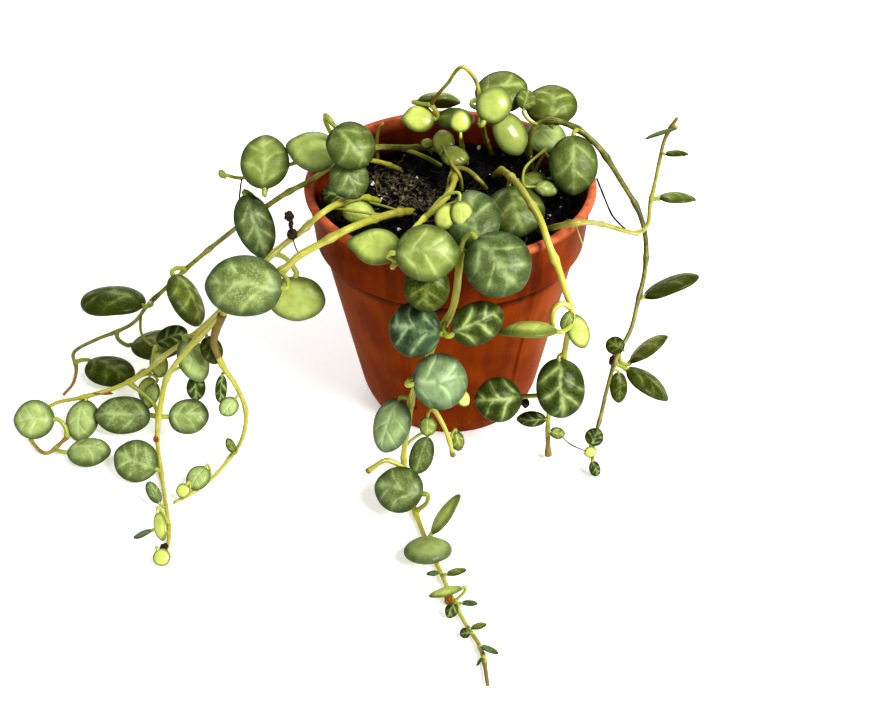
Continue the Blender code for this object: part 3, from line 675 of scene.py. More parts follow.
def stem_finish(looks):
    """Smooth stems: lime when young, olive and tan when old, reddish at the joints."""
    finish = Finish("stem_skin", specular_ior_level=0.4, coat_roughness=0.35)
    age, joint, bright = finish.parts(finish.carried("growth"))
    where = finish.place()
    run = finish.carried("run")
    streaks = finish.noise(finish.stretched(run, (3.0, 3.0, 0.35)), 1.0, detail=3.0)
    blotches = finish.noise(where, 1.7 * MM, detail=4.0, roughness=0.6)
    fine = finish.noise(where, 0.3 * MM, detail=2.0)
    youth = finish.rise(bright + blotches, 0.55, 1.25)
    fresh = finish.mix(tuple(looks.green), tuple(looks.young), youth)
    # Pale streaks along the stem, partly a waxy skin and partly painted highlights.
    pale_streak_highlight = finish.rise(streaks, 0.5, 0.72) * (0.15 + bright * 0.55)
    with_streak_highlights = finish.mix(fresh, tuple(looks.pale), pale_streak_highlight)
    bark = finish.rise(age + blotches - 0.5, 0.42, 0.85)
    body = finish.mix(with_streak_highlights, tuple(looks.old), bark * 0.9)
    red = joint * finish.rise(blotches + joint * 0.2 + age * 0.3, 0.78, 1.15) * 0.8
    finish.feed("Base Color", finish.mix(body, tuple(looks.joint), red))
    finish.feed("Roughness", 0.36 + bark * 0.35 + fine * 0.1)
    finish.feed("Coat Weight", 0.15 * (1 - bark))
    finish.bump(streaks * 0.5 + fine * 0.35 + blotches * bark, 0.12 * MM)
    return finish.material


def leaf_finish(looks):
    """Dark pads between pale veins that run out from near the stalk, with a fine grain."""
    finish = Finish("veined_leaf", specular_ior_level=0.07, coat_roughness=0.16)
    u, v, side = finish.parts(finish.carried("blade"))
    spacing, pale, warmth = finish.parts(finish.carried("habit"))
    strength = finish.carried("veins", "Fac")
    mottle, bloom, rim = finish.parts(finish.carried("marks"))
    stalk = finish.carried("stalk", "Fac")
    where = finish.place()
    out = abs(u)
    level = (v - out * (VEIN_LEAN - VEIN_CURVE * out)) / spacing + u.math("SIGN", u) * 0.23
    gap = out.math("MINIMUM", out, abs(level - round(level)) * spacing * SIDE_WEIGHT)
    broken = finish.noise(where, 2.2 * MM, detail=3.0)
    fine = finish.noise(where, 0.42 * MM, detail=4.0, roughness=0.65)
    ragged = gap + (fine - 0.5) * 0.10
    thin = 1 + finish.rise(out, 0.15, 0.95) * 0.5
    vein = (1 - finish.rise(ragged * thin, 0.00, 0.07 + broken * 0.16)) * strength
    halo = (1 - finish.rise(ragged, 0.02, 0.34)) * strength
    grain = finish.rise(fine + broken * 0.4, 0.64, 0.86) * mottle
    deep = finish.mix(tuple(looks.deep_cool), tuple(looks.deep_warm), warmth)
    light = finish.mix(tuple(looks.pale_cool), tuple(looks.pale_warm), warmth)
    net = finish.mix(light, tuple(looks.vein), 0.6)
    clouds = finish.rise(broken, 0.3, 0.65)
    body = finish.mix(deep, light, pale * (0.55 + broken * 0.7))
    body = finish.mix(body, light, halo * (0.05 + clouds * 0.24))
    body = finish.mix(body, net, vein * (0.14 + clouds * 0.30))
    body = finish.mix(body, light, grain * 0.38)
    # Painted shade: the blade darkens towards its outer edge.
    body = finish.mix(body, deep, finish.rise(rim + fine * 0.2, 0.72, 1.1) * 0.75)
    bloomed = finish.mix(body, tuple(looks.bloom), bloom * clouds * 0.34)
    lower = 1 - finish.rise(side, -0.60, -0.20)
    under = finish.mix(tuple(looks.under), deep, fine * 0.45 + broken * 0.2)
    skin = finish.mix(bloomed, under, lower)
    finish.feed("Base Color", finish.mix(skin, tuple(looks.stalk), stalk * 0.85))
    finish.feed("Roughness", 0.33 + bloom * 0.22 + fine * 0.08 + grain * 0.1)
    finish.feed("Coat Weight", 0.10 + 0.45 * (1 - finish.rise(mottle, 0.05, 0.25)))
    finish.bump(vein * -0.8 + fine * 0.3 + broken * 0.8, 0.12 * MM)
    return finish.material


def dry_finish(name, main, second):
    """Dried scraps: dark and wrinkled."""
    finish = Finish(name, specular_ior_level=0.3)
    where = finish.place()
    wrinkles = finish.noise(where, 0.7 * MM, detail=4.0, roughness=0.65, distortion=0.6)
    folds = finish.rise(wrinkles, 0.4, 0.65)
    finish.feed("Base Color", finish.mix(tuple(main), tuple(second), folds))
    finish.feed("Roughness", 0.6 + wrinkles * 0.3)
    finish.bump(wrinkles, 0.25 * MM)
    return finish.material


# ---------------------------------------------------------------- pieces

def add_object(name, bm, finish=None):
    """Makes an object in the scene from a bmesh, which it uses up."""
    mesh = bpy.data.meshes.new(name)
    bm.to_mesh(mesh)
    bm.free()
    if finish:
        mesh.materials.append(finish)
    made = bpy.data.objects.new(name, mesh)
    bpy.context.scene.collection.objects.link(made)
    return made


def add_piece(name, bm, finish, replaced=(), sharp_deg=60.0):
    """Makes one piece from a bmesh, gives it its finish and rides it on the plant's body."""
    bmesh.ops.recalc_face_normals(bm, faces=bm.faces)
    piece = add_object(name, bm, finish)
    piece.data.shade_smooth()
    piece.data.set_sharp_from_angle(angle=math.radians(sharp_deg))
    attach(piece, BODY)
    if replaced:
        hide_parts(*replaced)
    return piece


def skin_rings(bm, rings):
    """Skins rings of vertices, where the first or the last may be a single point."""
    for lower, upper in zip(rings, rings[1:]):
        count = max(len(lower), len(upper))
        for index in range(count):
            after = (index + 1) % count
            corners = [lower[index % len(lower)], lower[after % len(lower)],
                       upper[after % len(upper)], upper[index % len(upper)]]
            bm.faces.new(list(dict.fromkeys(corners)))
    for ring in (rings[0], rings[-1]):
        if len(ring) > 1:
            bm.faces.new(ring)


def along_route(points, spacing):
    """Evenly spaced points on a smooth curve through the given ones."""
    knots = [Vector(point) for point in points]
    ends = [2 * knots[0] - knots[1], *knots, 2 * knots[-1] - knots[-2]]
    fine = []
    for index in range(1, len(ends) - 2):
        before, start, stop, after = ends[index - 1:index + 3]
        count = max(2, round((stop - start).length / spacing * 2))
        for step in range(count):
            t = step / count
            fine.append(0.5 * (2 * start + (stop - before) * t
                               + (2 * before - 5 * start + 4 * stop - after) * t * t
                               + (3 * start - before - 3 * stop + after) * t ** 3))
    fine.append(knots[-1])
    route = [fine[0]]
    covered = 0.0
    for start, stop in zip(fine, fine[1:]):
        covered += (stop - start).length
        if covered >= spacing:
            route.append(stop)
            covered = 0.0
    route[-1] = fine[-1]
    return route


def route_in_metres(points, spacing):
    """Evenly spaced points on a smooth curve through places in mm."""
    return along_route([Vector(point) * MM for point in points], spacing)


def route_frames(route):
    """The run, and two directions across it that don't twist, at each point of a route."""
    frames = []
    side = None
    for index, point in enumerate(route):
        run = route[min(index + 1, len(route) - 1)] - route[max(index - 1, 0)]
        run.normalize()
        side = run.orthogonal() if side is None else side - run * side.dot(run)
        side = side.normalized()
        frames.append((run, side, run.cross(side)))
    return frames


def add_tube(bm, route, radii, sides, values=None):
    """A closed tube along a route, with one radius a point and rounded ends."""
    layers = bm.verts.layers.float_vector
    rings = []
    frames = route_frames(route)
    covered = 0.0
    for index, (point, radius, (run, side, over)) in enumerate(zip(route, radii, frames)):
        covered += (point - route[max(index - 1, 0)]).length
        ring = []
        for step in range(sides):
            angle = math.tau * step / sides
            arm = side * math.cos(angle) + over * math.sin(angle)
            vert = bm.verts.new(point + arm * radius)
            for name, value in (values[index] if values else {}).items():
                vert[layers[name]] = value
            if "run" in layers.keys():
                vert[layers["run"]] = (math.cos(angle), math.sin(angle), covered / RUN_UNIT)
            ring.append(vert)
        rings.append(ring)
    for end, ring, way in ((0, rings[0], -1.0), (-1, rings[-1], 1.0)):
        tip = bm.verts.new(route[end] + frames[end][0] * way * radii[end] * TIP_SHARE)
        for layer in layers.values():
            tip[layer] = ring[0][layer]
        rings.insert(0 if end == 0 else len(rings), [tip])
    skin_rings(bm, rings)
    return rings


# ---------------------------------------------------------------- pot

def blend_share(value, low, high):
    """0 below low, 1 above high, and smooth between."""
    t = min(1.0, max(0.0, (value - low) / (high - low)))
    return t * t * (3.0 - 2.0 * t)


def radius_between(z, low, high):
    """Radius at a height on the straight line between two (height, radius) points."""
    return low[1] + (z - low[0]) / (high[0] - low[0]) * (high[1] - low[1])


def pot_section(pot):
    """Half section (radius, height): from the middle of the base, up outside, down inside."""
    low, high = POT_LOW, POT_HIGH
    top = high.z
    rim = high.x
    edge = 0.5 * MM
    wall_low = (pot.foot_height, pot.wall_bottom)
    wall_high = (pot.collar_height, pot.wall_top)
    collar_low = (pot.collar_height, pot.collar_bottom)
    collar_high = (top, pot.collar_top)
    section = [(share_out * pot.foot, low.z) for share_out in (0.0, 0.25, 0.5, 0.75, 0.9)]
    section += [(pot.foot - 0.15 * MM, low.z), (pot.foot + 0.1 * MM, 0.12 * MM)]
    section += [(pot.foot + edge * 0.9, edge)]
    for height in (1.5, 2.8, 4.0, 4.7):
        swell = 0.25 * MM * math.sin(math.pi * height * MM / pot.foot_height)
        radius = radius_between(height * MM, (0.0, pot.foot), wall_low) + swell
        section.append((radius, height * MM))
    heights = [5.2, 6.0, 7.0, 7.6, 8.0, 8.4, 9.0] + [10.0 + 1.5 * step for step in range(20)]
    heights += [39.6, 40.1, 40.5, 40.9, 41.2]
    section += [(radius_between(z * MM, wall_low, wall_high), z * MM) for z in heights]
    section += [(pot.wall_top + 0.05 * MM, pot.collar_height - 0.08 * MM),
                (pot.wall_top + 0.5 * (pot.collar_bottom - pot.wall_top), pot.collar_height),
                (pot.collar_bottom - 0.25 * MM, pot.collar_height + 0.02 * MM),
                (pot.collar_bottom, pot.collar_height + 0.25 * MM)]
    heights = [42.0, 42.4, 42.8, 43.2] + [44.0 + step for step in range(7)] + [50.6, 51.0, 51.4]
    section += [(radius_between(z * MM, collar_low, collar_high), z * MM) for z in heights]
    bead = (rim - pot.bead, top - pot.bead)
    section += [(bead[0] + pot.bead * math.cos(math.radians(turn)),
                 bead[1] + pot.bead * math.sin(math.radians(turn))) for turn in range(-75, 136, 15)]
    inside = [(51.0, collar_low, collar_high), (47.0, collar_low, collar_high),
              (43.2, collar_low, collar_high), (42.4, collar_low, collar_high),
              (41.4, wall_low, wall_high), (30.0, wall_low, wall_high),
              (18.0, wall_low, wall_high), (5.4, wall_low, wall_high)]
    section += [(radius_between(z * MM, a, b) - pot.wall, z * MM) for z, a, b in inside]
    section += [(radius_between(pot.floor + edge, (0.0, pot.foot), wall_low) - pot.wall,
                 pot.floor + edge),
                (pot.foot - pot.wall - edge, pot.floor), (pot.foot * 0.5, pot.floor),
                (0.0, pot.floor)]
    return section


def flute_share(pot, radius, height, angle):
    """How deep the upright flutes are at a place on the outside, from 0 to 1."""
    spacing = math.tau / FLUTE_COUNT
    turn = (angle + math.pi / 2 - math.radians(FLUTE_FIRST_DEG)) / spacing
    gap = abs(turn - round(turn)) * spacing * radius
    half = pot.flute_width / 2
    soft = 0.28 * MM
    across = 1.0 - blend_share(gap, half - soft, half + soft * 0.4)
    wall = blend_share(height, 7.4 * MM, 8.4 * MM)
    wall *= 1.0 - blend_share(height, 40.0 * MM, 40.8 * MM)
    collar = blend_share(height, 42.0 * MM, 42.9 * MM)
    collar *= 0.6 * (1.0 - blend_share(height, 50.4 * MM, 51.3 * MM))
    return across * (wall + collar)


def drain_cutter(pot):
    """Round bars that cut the drain holes."""
    bm = bmesh.new()
    for index in range(DRAIN_COUNT):
        angle = math.tau * (index + 0.5) / DRAIN_COUNT
        place = Matrix.Translation((pot.drain_ring * math.cos(angle),
                                    pot.drain_ring * math.sin(angle), 0.0))
        bmesh.ops.create_cone(bm, cap_ends=True, segments=40, radius1=pot.drain,
                              radius2=pot.drain, depth=6 * pot.floor, matrix=place)
    return add_object("drain_cutter", bm)


class PLANT_OT_turn_pot(bpy.types.Operator):
    """Turns the fluted pot with its rolled rim, collar step and drain holes"""
    bl_idname = "plant.turn_pot"
    bl_label = "Turn the pot"

    def execute(self, context):
        pot = context.scene.plant_pot
        bm = bmesh.new()
        for layer in ("rim", "groove"):
            bm.verts.layers.float.new(layer)
        rim_layer = bm.verts.layers.float["rim"]
        groove_layer = bm.verts.layers.float["groove"]
        top = POT_HIGH.z
        section = pot_section(pot)
        outside = max(range(len(section)), key=lambda index: section[index][0])
        rings = []
        for index, (radius, height) in enumerate(section):
            if radius == 0.0:
                rings.append([bm.verts.new((0.0, 0.0, height))])
                continue
            ring = []
            for step in range(pot.steps):
                angle = math.tau * step / pot.steps
                dent = flute_share(pot, radius, height, angle) if index < outside else 0.0
                way = Vector((math.cos(angle), math.sin(angle), height / (30 * MM)))
                warp = noise.noise(way * 1.3)
                out = radius - dent * pot.flute_depth + 0.10 * MM * warp * (height / top)
                vert = bm.verts.new((out * math.cos(angle), out * math.sin(angle), height))
                # The rim share marks the top of the rolled rim, which the finish paints paler as
                # wear and painted highlight.
                vert[rim_layer] = blend_share(height, top - 1.6 * pot.bead, top - 0.3 * pot.bead)
                # The groove share is painted shade: dark just under the collar step and along the
                # flute edges, fainter on the collar.
                below = pot.collar_height - height
                corner = 1.0 - blend_share(below, 1.2 * MM, 3.2 * MM) if below > -0.1 * MM else 0.0
                edge = 1.0 - blend_share(abs(dent - 0.45), 0.15, 0.45)
                edge *= 1.0 if below > 0.0 else 0.35
                vert[groove_layer] = max(corner, edge) if index < outside else 0.0
                ring.append(vert)
            rings.append(ring)
        skin_rings(bm, rings)
        piece = add_piece("turned_pot", bm, plastic_finish(pot), ["pot"],
                          sharp_deg=40.0)
        cutter = drain_cutter(pot)
        cut = piece.modifiers.new("drain holes", "BOOLEAN")
        cut.operation = "DIFFERENCE"
        cut.solver = "EXACT"
        cut.object = cutter
        graph = context.evaluated_depsgraph_get()
        holed = bpy.data.meshes.new_from_object(piece.evaluated_get(graph))
        piece.modifiers.remove(cut)
        piece.data = holed
        bpy.data.objects.remove(cutter, do_unlink=True)
        return {"FINISHED"}


# ---------------------------------------------------------------- soil

def soil_height(x, y, relief):
    """Height of the lumpy soil at a place, all in metres."""
    a = x / MM
    b = y / MM
    lumps = noise.noise(Vector((a * 0.16, b * 0.16, 3.7)))
    fine = noise.noise(Vector((a * 0.4, b * 0.4, 9.1)))
    clods = noise.fractal(Vector((a * 0.75, b * 0.75, 2.2)), 0.9, 2.1, 4)
    return SOIL_TOP + relief * (0.7 * lumps + 0.3 * fine + 0.55 * clods)


def soil_limit(pot, height):
    """Inner radius of the pot at a height above the collar step."""
    return radius_between(height, (pot.collar_height, pot.collar_bottom),
                          (POT_HIGH.z, pot.collar_top)) - pot.wall


class PLANT_OT_fill_soil(bpy.types.Operator):
    """Fills the pot with a lumpy plug of peat"""
    bl_idname = "plant.fill_soil"
    bl_label = "Fill with soil"

    def execute(self, context):
        soil = context.scene.plant_soil
        pot = context.scene.plant_pot
        bm = bmesh.new()
        edge = soil_limit(pot, SOIL_TOP) - 0.05 * MM
        rings = [[bm.verts.new((0.0, 0.0, soil_height(0.0, 0.0, soil.relief)))]]
        for index in range(1, SOIL_RINGS + 1):
            radius = edge * index / SOIL_RINGS
            ring = []
            for step in range(SOIL_STEPS):
                angle = math.tau * step / SOIL_STEPS
                x, y = radius * math.cos(angle), radius * math.sin(angle)
                ring.append(bm.verts.new((x, y, soil_height(x, y, soil.relief))))
            rings.append(ring)
        low = (pot.foot_height, pot.wall_bottom)
        high = (pot.collar_height, pot.wall_top)
        gap = pot.wall + 0.1 * MM
        for height in (43.4, 42.2, 41.0, 30.0, 18.0, 5.4, 1.4):
            z = height * MM
            radius = radius_between(z, low, high) - gap
            if z > pot.collar_height:
                radius = soil_limit(pot, z) - 0.1 * MM
            if z < pot.foot_height:
                radius = pot.foot - gap
            rings.append([bm.verts.new((radius * math.cos(math.tau * step / SOIL_STEPS),
                                        radius * math.sin(math.tau * step / SOIL_STEPS), z))
                          for step in range(SOIL_STEPS)])
        rings.append([bm.verts.new((0.0, 0.0, 1.4 * MM))])
        skin_rings(bm, rings)
        add_piece("peat_plug", bm, peat_finish(soil), ["soil"])
        return {"FINISHED"}


def drawn_vector(draw, low, high):
    """Three random numbers between two values."""
    return Vector([draw.uniform(low, high) for _ in range(3)])


def scatter_place(draw, pot, room):
    """A random place on the soil, clear of the pot's wall."""
    reach = (soil_limit(pot, SOIL_TOP) - room) * math.sqrt(draw.random())
    angle = draw.uniform(0.0, math.tau)
    return reach * math.cos(angle), reach * math.sin(angle)


def add_crumb(bm, draw, centre, radius, rough):
    """One lumpy grain, squashed and turned at random."""
    angle = draw.uniform(0.0, math.tau)
    turn = Matrix.Rotation(angle, 4, drawn_vector(draw, -1, 1).normalized())
    squash = Matrix.Diagonal((1.0, draw.uniform(0.55, 0.95), draw.uniform(0.45, 0.85), 1.0))
    made = bmesh.ops.create_icosphere(bm, subdivisions=1, radius=1.0)
    seed = drawn_vector(draw, 0, 50)
    for vert in made["verts"]:
        bulge = 1.0 + rough * noise.noise(vert.co * 1.7 + seed)
        vert.co = centre + (turn @ squash @ (vert.co * bulge)) * radius


def patch_place(draw, patch):
    """A random place on a heap of clods, in metres, and how near its middle it is, from 0 to 1."""
    x, y, size = patch
    angle = draw.uniform(0.0, math.tau)
    reach = size * math.sqrt(draw.random())
    return (x + reach * math.cos(angle)) * MM, (y + reach * math.sin(angle)) * MM, 1 - reach / size


def wander(draw, x, y, heading, steps, stride, lift_of):
    """A route of steps over the soil that keeps turning a little."""
    route = []
    for _ in range(steps):
        route.append(Vector((x, y, lift_of(x, y))))
        heading += draw.uniform(-0.9, 0.9)
        x += stride * math.cos(heading)
        y += stride * math.sin(heading)
    return route


class PLANT_OT_scatter_grains(bpy.types.Operator):
    """Scatters loose crumbs, white grains and fibres on the soil"""
    bl_idname = "plant.scatter_grains"
    bl_label = "Scatter grains"

    def bank_stems(self, soil, draw, dark):
        """Banks crumbs up round the foot of each stem."""
        bm = bmesh.new()
        for _, _, routes in STEMS.values():
            x_foot, y_foot, _ = routes[0][0]
            for _ in range(soil.banked):
                x, y, near = patch_place(draw, (x_foot, y_foot, STEM_BANK))
                radius = MM * draw.uniform(0.3, 0.9)
                z = soil_height(x, y, soil.relief) + 1.1 * MM * near * draw.random()
                add_crumb(bm, draw, Vector((x, y, z)), radius, CRUMB_ROUGH)
        add_piece("stem_banks", bm, dark, sharp_deg=CRUMB_SHARP_DEG)

    def strew_fibres(self, soil, pot, draw, straw):
        """Strews fibres on the soil, where they stay clear of the pot's wall."""
        bm = bmesh.new()
        limit = soil_limit(pot, SOIL_TOP) - 0.4 * MM
        for _ in range(soil.fibres):
            x, y = scatter_place(draw, pot, 2.5 * MM)
            route = wander(draw, x, y, draw.uniform(0.0, math.tau), draw.randint(4, 8),
                           1.1 * MM, lambda a, b: soil_height(a, b, soil.relief)
                           + draw.uniform(0.05, 0.9) * MM)
            if max(math.hypot(point.x, point.y) for point in route) < limit:
                route = along_route(route, 0.6 * MM)
                thick = draw.uniform(0.05, 0.16) * MM
                add_tube(bm, route, [thick] * len(route), FIBRE_SIDES)
        add_piece("soil_fibres", bm, straw)

    def heap_clods(self, soil, draw, straw):
        """Heaps dry clods that fine roots hold together."""
        dry = crumb_finish("dry_clod", soil.clod, soil.dry, 0.85, 0.4 * MM)
        clods = bmesh.new()
        roots = bmesh.new()
        for patch in CLOD_PATCHES:
            for _ in range(soil.clods):
                x, y, near = patch_place(draw, patch)
                radius = MM * (0.25 + 0.75 * draw.random() ** 1.8)
                z = soil_height(x, y, soil.relief) + 1.6 * MM * near * draw.random()
                add_crumb(clods, draw, Vector((x, y, z)), radius, CRUMB_ROUGH)
            for _ in range(soil.roots):
                x, y, near = patch_place(draw, patch)
                route = wander(draw, x, y, draw.uniform(0.0, math.tau), draw.randint(4, 7),
                               0.9 * MM, lambda a, b: soil_height(a, b, soil.relief)
                               + (0.3 + 2.2 * near * draw.random()) * MM)
                route = along_route(route, 0.5 * MM)
                thick = draw.uniform(0.05, 0.13) * MM
                add_tube(roots, route, [thick] * len(route), FIBRE_SIDES)
        add_piece("dry_clods", clods, dry, sharp_deg=CRUMB_SHARP_DEG)
        add_piece("clod_roots", roots, straw)

    def execute(self, context):
        soil = context.scene.plant_soil
        pot = context.scene.plant_pot
        draw = random.Random(11)
        dark = crumb_finish("peat_crumb", soil.peat, soil.clod, 0.75, 0.3 * MM)
        white = crumb_finish("perlite_grain", soil.perlite, [0.55 * c for c in soil.perlite],
                             0.6, 0.25 * MM)
        straw = crumb_finish("dry_fibre", soil.fibre, soil.clod, 0.7, 0.5 * MM)
        for name, count, low, high, finish in (
                ("peat_crumbs", soil.crumbs, 0.25, 1.15, dark),
                ("perlite_grains", soil.grains, 0.20, 0.65, white)):
            bm = bmesh.new()
            for _ in range(count):
                radius = MM * (low + (high - low) * draw.random() ** 2.2)
                x, y = scatter_place(draw, pot, radius + 0.3 * MM)
                z = soil_height(x, y, soil.relief) + radius * draw.uniform(-0.1, 0.5)
                add_crumb(bm, draw, Vector((x, y, z)), radius, CRUMB_ROUGH)
            add_piece(name, bm, finish, sharp_deg=CRUMB_SHARP_DEG)
        self.bank_stems(soil, draw, dark)
        self.strew_fibres(soil, pot, draw, straw)
        self.heap_clods(soil, draw, straw)
        return {"FINISHED"}


# ---------------------------------------------------------------- leaves

def facing(azimuth, elevation):
    """The way a leaf's upper side faces: azimuth 0 is the front, +90 the right, in degrees."""
    turn = math.radians(azimuth)
    rise = math.radians(elevation)
    return Vector((math.sin(turn) * math.cos(rise), -math.cos(turn) * math.cos(rise),
                   math.sin(rise)))


class Blade:
    """The place, axes, length and width of one leaf."""

    def __init__(self, centre, along, upward, length_, width):
        self.centre = centre
        self.along = along
        self.upward = upward
        self.across = along.cross(upward)
        self.length = length_
        self.width = width

    def joint(self, crown):
        return self.centre - self.along * (self.length / 2) - self.upward * (crown * self.width)


def blade_from_row(row):
    """A blade from its centre, facing, length, width and the way that it points in its plane."""
    x, y, z, azimuth, elevation, long, wide, roll = row
    upward = facing(azimuth, elevation)
    turn = math.radians(azimuth)
    level = Vector((math.cos(turn), math.sin(turn), 0.0))
    rising = upward.cross(level)
    angle = math.radians(roll)
    along = level * math.cos(angle) + rising * math.sin(angle)
    return Blade(Vector((x, y, z)) * MM, along, upward, long * MM, wide * MM)


def node_rings(node):
    """Rings of a frame leaf's points, from its tip to the end of its stalk."""
    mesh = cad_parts[node].data
    keys = {}
    points = []
    index_of = []
    for vert in mesh.vertices:
        key = tuple(round(value * 1e7) for value in vert.co)
        if key not in keys:
            keys[key] = len(points)
            points.append(vert.co.copy())
        index_of.append(keys[key])
    near = [set() for _ in points]
    for edge in mesh.edges:
        first, second = (index_of[vertex] for vertex in edge.vertices)
        if first != second:
            near[first].add(second)
            near[second].add(first)
    tip = max(range(len(points)), key=lambda index: len(near[index]))
    rings = [{tip}]
    seen = {tip}
    while rings[-1]:
        rings.append(set().union(*(near[index] for index in rings[-1])) - seen)
        seen |= rings[-1]
    return [[points[index] for index in ring] for ring in rings[:-1]]


def middle(points):
    return sum(points, Vector()) / len(points)


def blade_from_node(node, crown):
    """The blade that a frame leaf holds, and the end of its stalk."""
    rings = node_rings(node)
    upper, lower = rings[UPPER_RING], rings[LOWER_RING]
    along = (middle(upper) - middle(lower)).normalized()
    pairs = sorted(((a - b).length, index, other) for index, a in enumerate(upper)
                   for other, b in enumerate(upper) if index < other)
    _, first, second = pairs[-1]
    across = upper[first] - upper[second]
    width = across.length / math.sin(RING_TURN)
    edge = (upper[first] + upper[second]) / 2
    upward = middle(upper) - edge
    upward = upward - along * upward.dot(along)
    upward = upward - across * upward.dot(across) / across.length_squared
    upward.normalize()
    flat = math.sin(RING_TURN) ** 2 / 2 + math.cos(RING_TURN) ** 2
    centre = (middle(upper) + middle(lower)) / 2 + upward * (crown * width * flat)
    long = 2 * (rings[0][0] - centre).dot(along)
    return Blade(centre, along, upward, long, width), middle(rings[-1])


def vein_gap(u, v, spacing):
    """Distance from the nearest pale vein, in half widths of the blade."""
    out = abs(u)
    level = (v - out * (VEIN_LEAN - VEIN_CURVE * out)) / spacing + math.copysign(0.23, u)
    return min(out, abs(level - round(level)) * spacing * SIDE_WEIGHT)


def smooth_vector(place):
    """Three smooth values from -1 to 1 at a place, which are the same in every run."""
    return Vector([noise.noise(place + Vector(shift)) for shift in SWIRL_SHIFTS])


def add_blade(bm, blade, looks, tone, seed, sides=None):
    """A thick rounded blade: pads between the veins, a soft point and a slightly wavy edge."""
    layers = bm.verts.layers.float_vector
    pale, warmth, mottle, bloom, veins = tone
    vein_layer = bm.verts.layers.float["veins"]
    draw = random.Random(seed)
    spacing = draw.uniform(0.58, 0.86)
    offset = drawn_vector(draw, 0, 40)
    point = LEAF_POINTS.get(seed, draw.uniform(0.02, 0.08))
    sides = sides or looks.sides
    rings = []
    count = looks.rings if sides == looks.sides else looks.rings // 2
    for index in range(count + 1):
        lean = math.pi * index / count
        out = math.sin(lean) ** 0.9 if 0 < index < count else 0.0
        high = math.copysign(abs(math.cos(lean)) ** 0.8, math.cos(lean))
        ring = []
        for step in range(sides if out else 1):
            turn = math.tau * step / sides
            wave = noise.noise(offset + Vector((math.cos(turn), math.sin(turn), 0.0)) * 1.1)
            tip = math.exp(-(min(turn, math.tau - turn) / 0.34) ** 2)
            outline = 1.0 + 0.045 * wave + point * tip
            u = out * math.sin(turn) * outline
            v = out * math.cos(turn) * outline
            swirl = smooth_vector(offset + Vector((u, v, 0.0)) * 1.2) * 0.17
            gap = vein_gap(u + swirl.x, v + swirl.y, spacing)
            pad = looks.relief * veins * blend_share(gap, 0.02, 0.20) * (1.0 - out ** 6)
            bend = 0.05 * noise.noise(offset + Vector((u * 0.9, v * 0.9, 5.0)))
            drop = looks.crown * (u * u + v * v)
            lift = high * looks.thickness - drop + bend * out
            if high > 0.0:
                lift += pad
            vert = bm.verts.new(blade.centre + blade.across * (u * blade.width / 2)
                                + blade.along * (v * blade.length / 2)
                                + blade.upward * (lift * blade.width))
            vert[layers["blade"]] = (u + swirl.x, v + swirl.y, high)
            vert[layers["habit"]] = (spacing, pale, warmth)
            vert[vein_layer] = veins
            vert[layers["marks"]] = (mottle, bloom, out)
            ring.append(vert)
        rings.append(ring)
    skin_rings(bm, rings)


def add_stalk(bm, blade, looks, place, radius, tone):
    """A short curved stalk from a place on the stem into the blade's base."""
    layers = bm.verts.layers.float_vector
    stalk_layer = bm.verts.layers.float["stalk"]
    joint = blade.joint(looks.crown)
    inside = joint + blade.along * (blade.length * 0.10) + blade.upward * (blade.width * 0.02)
    reach = (joint - place).length
    bend = joint - blade.along * (reach * 0.45)
    route = along_route([place, place.lerp(bend, 0.55), bend.lerp(joint, 0.6), joint, inside],
                        0.35 * MM)
    total = len(route) - 1
    radii = []
    values = []
    for index in range(len(route)):
        share_ = index / total
        flare = 0.35 * math.exp(-(share_ / 0.15) ** 2) + 0.25 * blend_share(share_, 0.65, 1.0)
        radii.append(radius * (1.0 + flare) * (1.0 - 0.35 * blend_share(share_, 0.9, 1.0)))
        values.append({"blade": (0.0, -0.9, 1.0), "habit": (0.7, tone[0], tone[1]),
                       "marks": (0.0, 0.0, 0.0)})
    rings = add_tube(bm, route, radii, 10, values)
    for number, ring in enumerate(rings):
        share_ = number / (len(rings) - 1)
        for vert in ring:
            vert[stalk_layer] = 1.0 - blend_share(share_, 0.72, 1.0) * 0.6


def leaf_bmesh():
    bm = bmesh.new()
    for name in ("blade", "habit", "marks"):
        bm.verts.layers.float_vector.new(name)
    for name in ("stalk", "veins"):
        bm.verts.layers.float.new(name)
    return bm


def tone_of(name):
    """The tone of a frame leaf, which is olive unless LEAF_TONES names it."""
    for tone, names in LEAF_TONES.items():
        if name in names:
            return TONES[tone]
    return TONES["olive"]


def nearest_on_route(place, routes):
    """The nearest point of any of the routes."""
    return min((point for route in routes for point in route),
               key=lambda point: (point - place).length_squared)


def stem_routes(name, spacing):
    """Centre lines of a stem, from inside the soil, and of its branches, in metres."""
    route, *branches = STEMS[name][2]
    first, second = (Vector(point) for point in route[:2])
    back = (first - second).xy
    main = []
    for distance, height in STEM_DIVE:
        foot = first.xy + back * distance
        foot *= min(1.0, STEM_DIVE_LIMIT / foot.length)
        main.append((foot.x, foot.y, height))
    return [route_in_metres(points, spacing) for points in ((*main, *route), *branches)]


def leaf_nodes(stem):
    """The frame's leaves on a stem, in order."""
    names = [f"leaf_{stem}_{number}" for number in range(1, 20)]
    return [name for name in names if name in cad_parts]


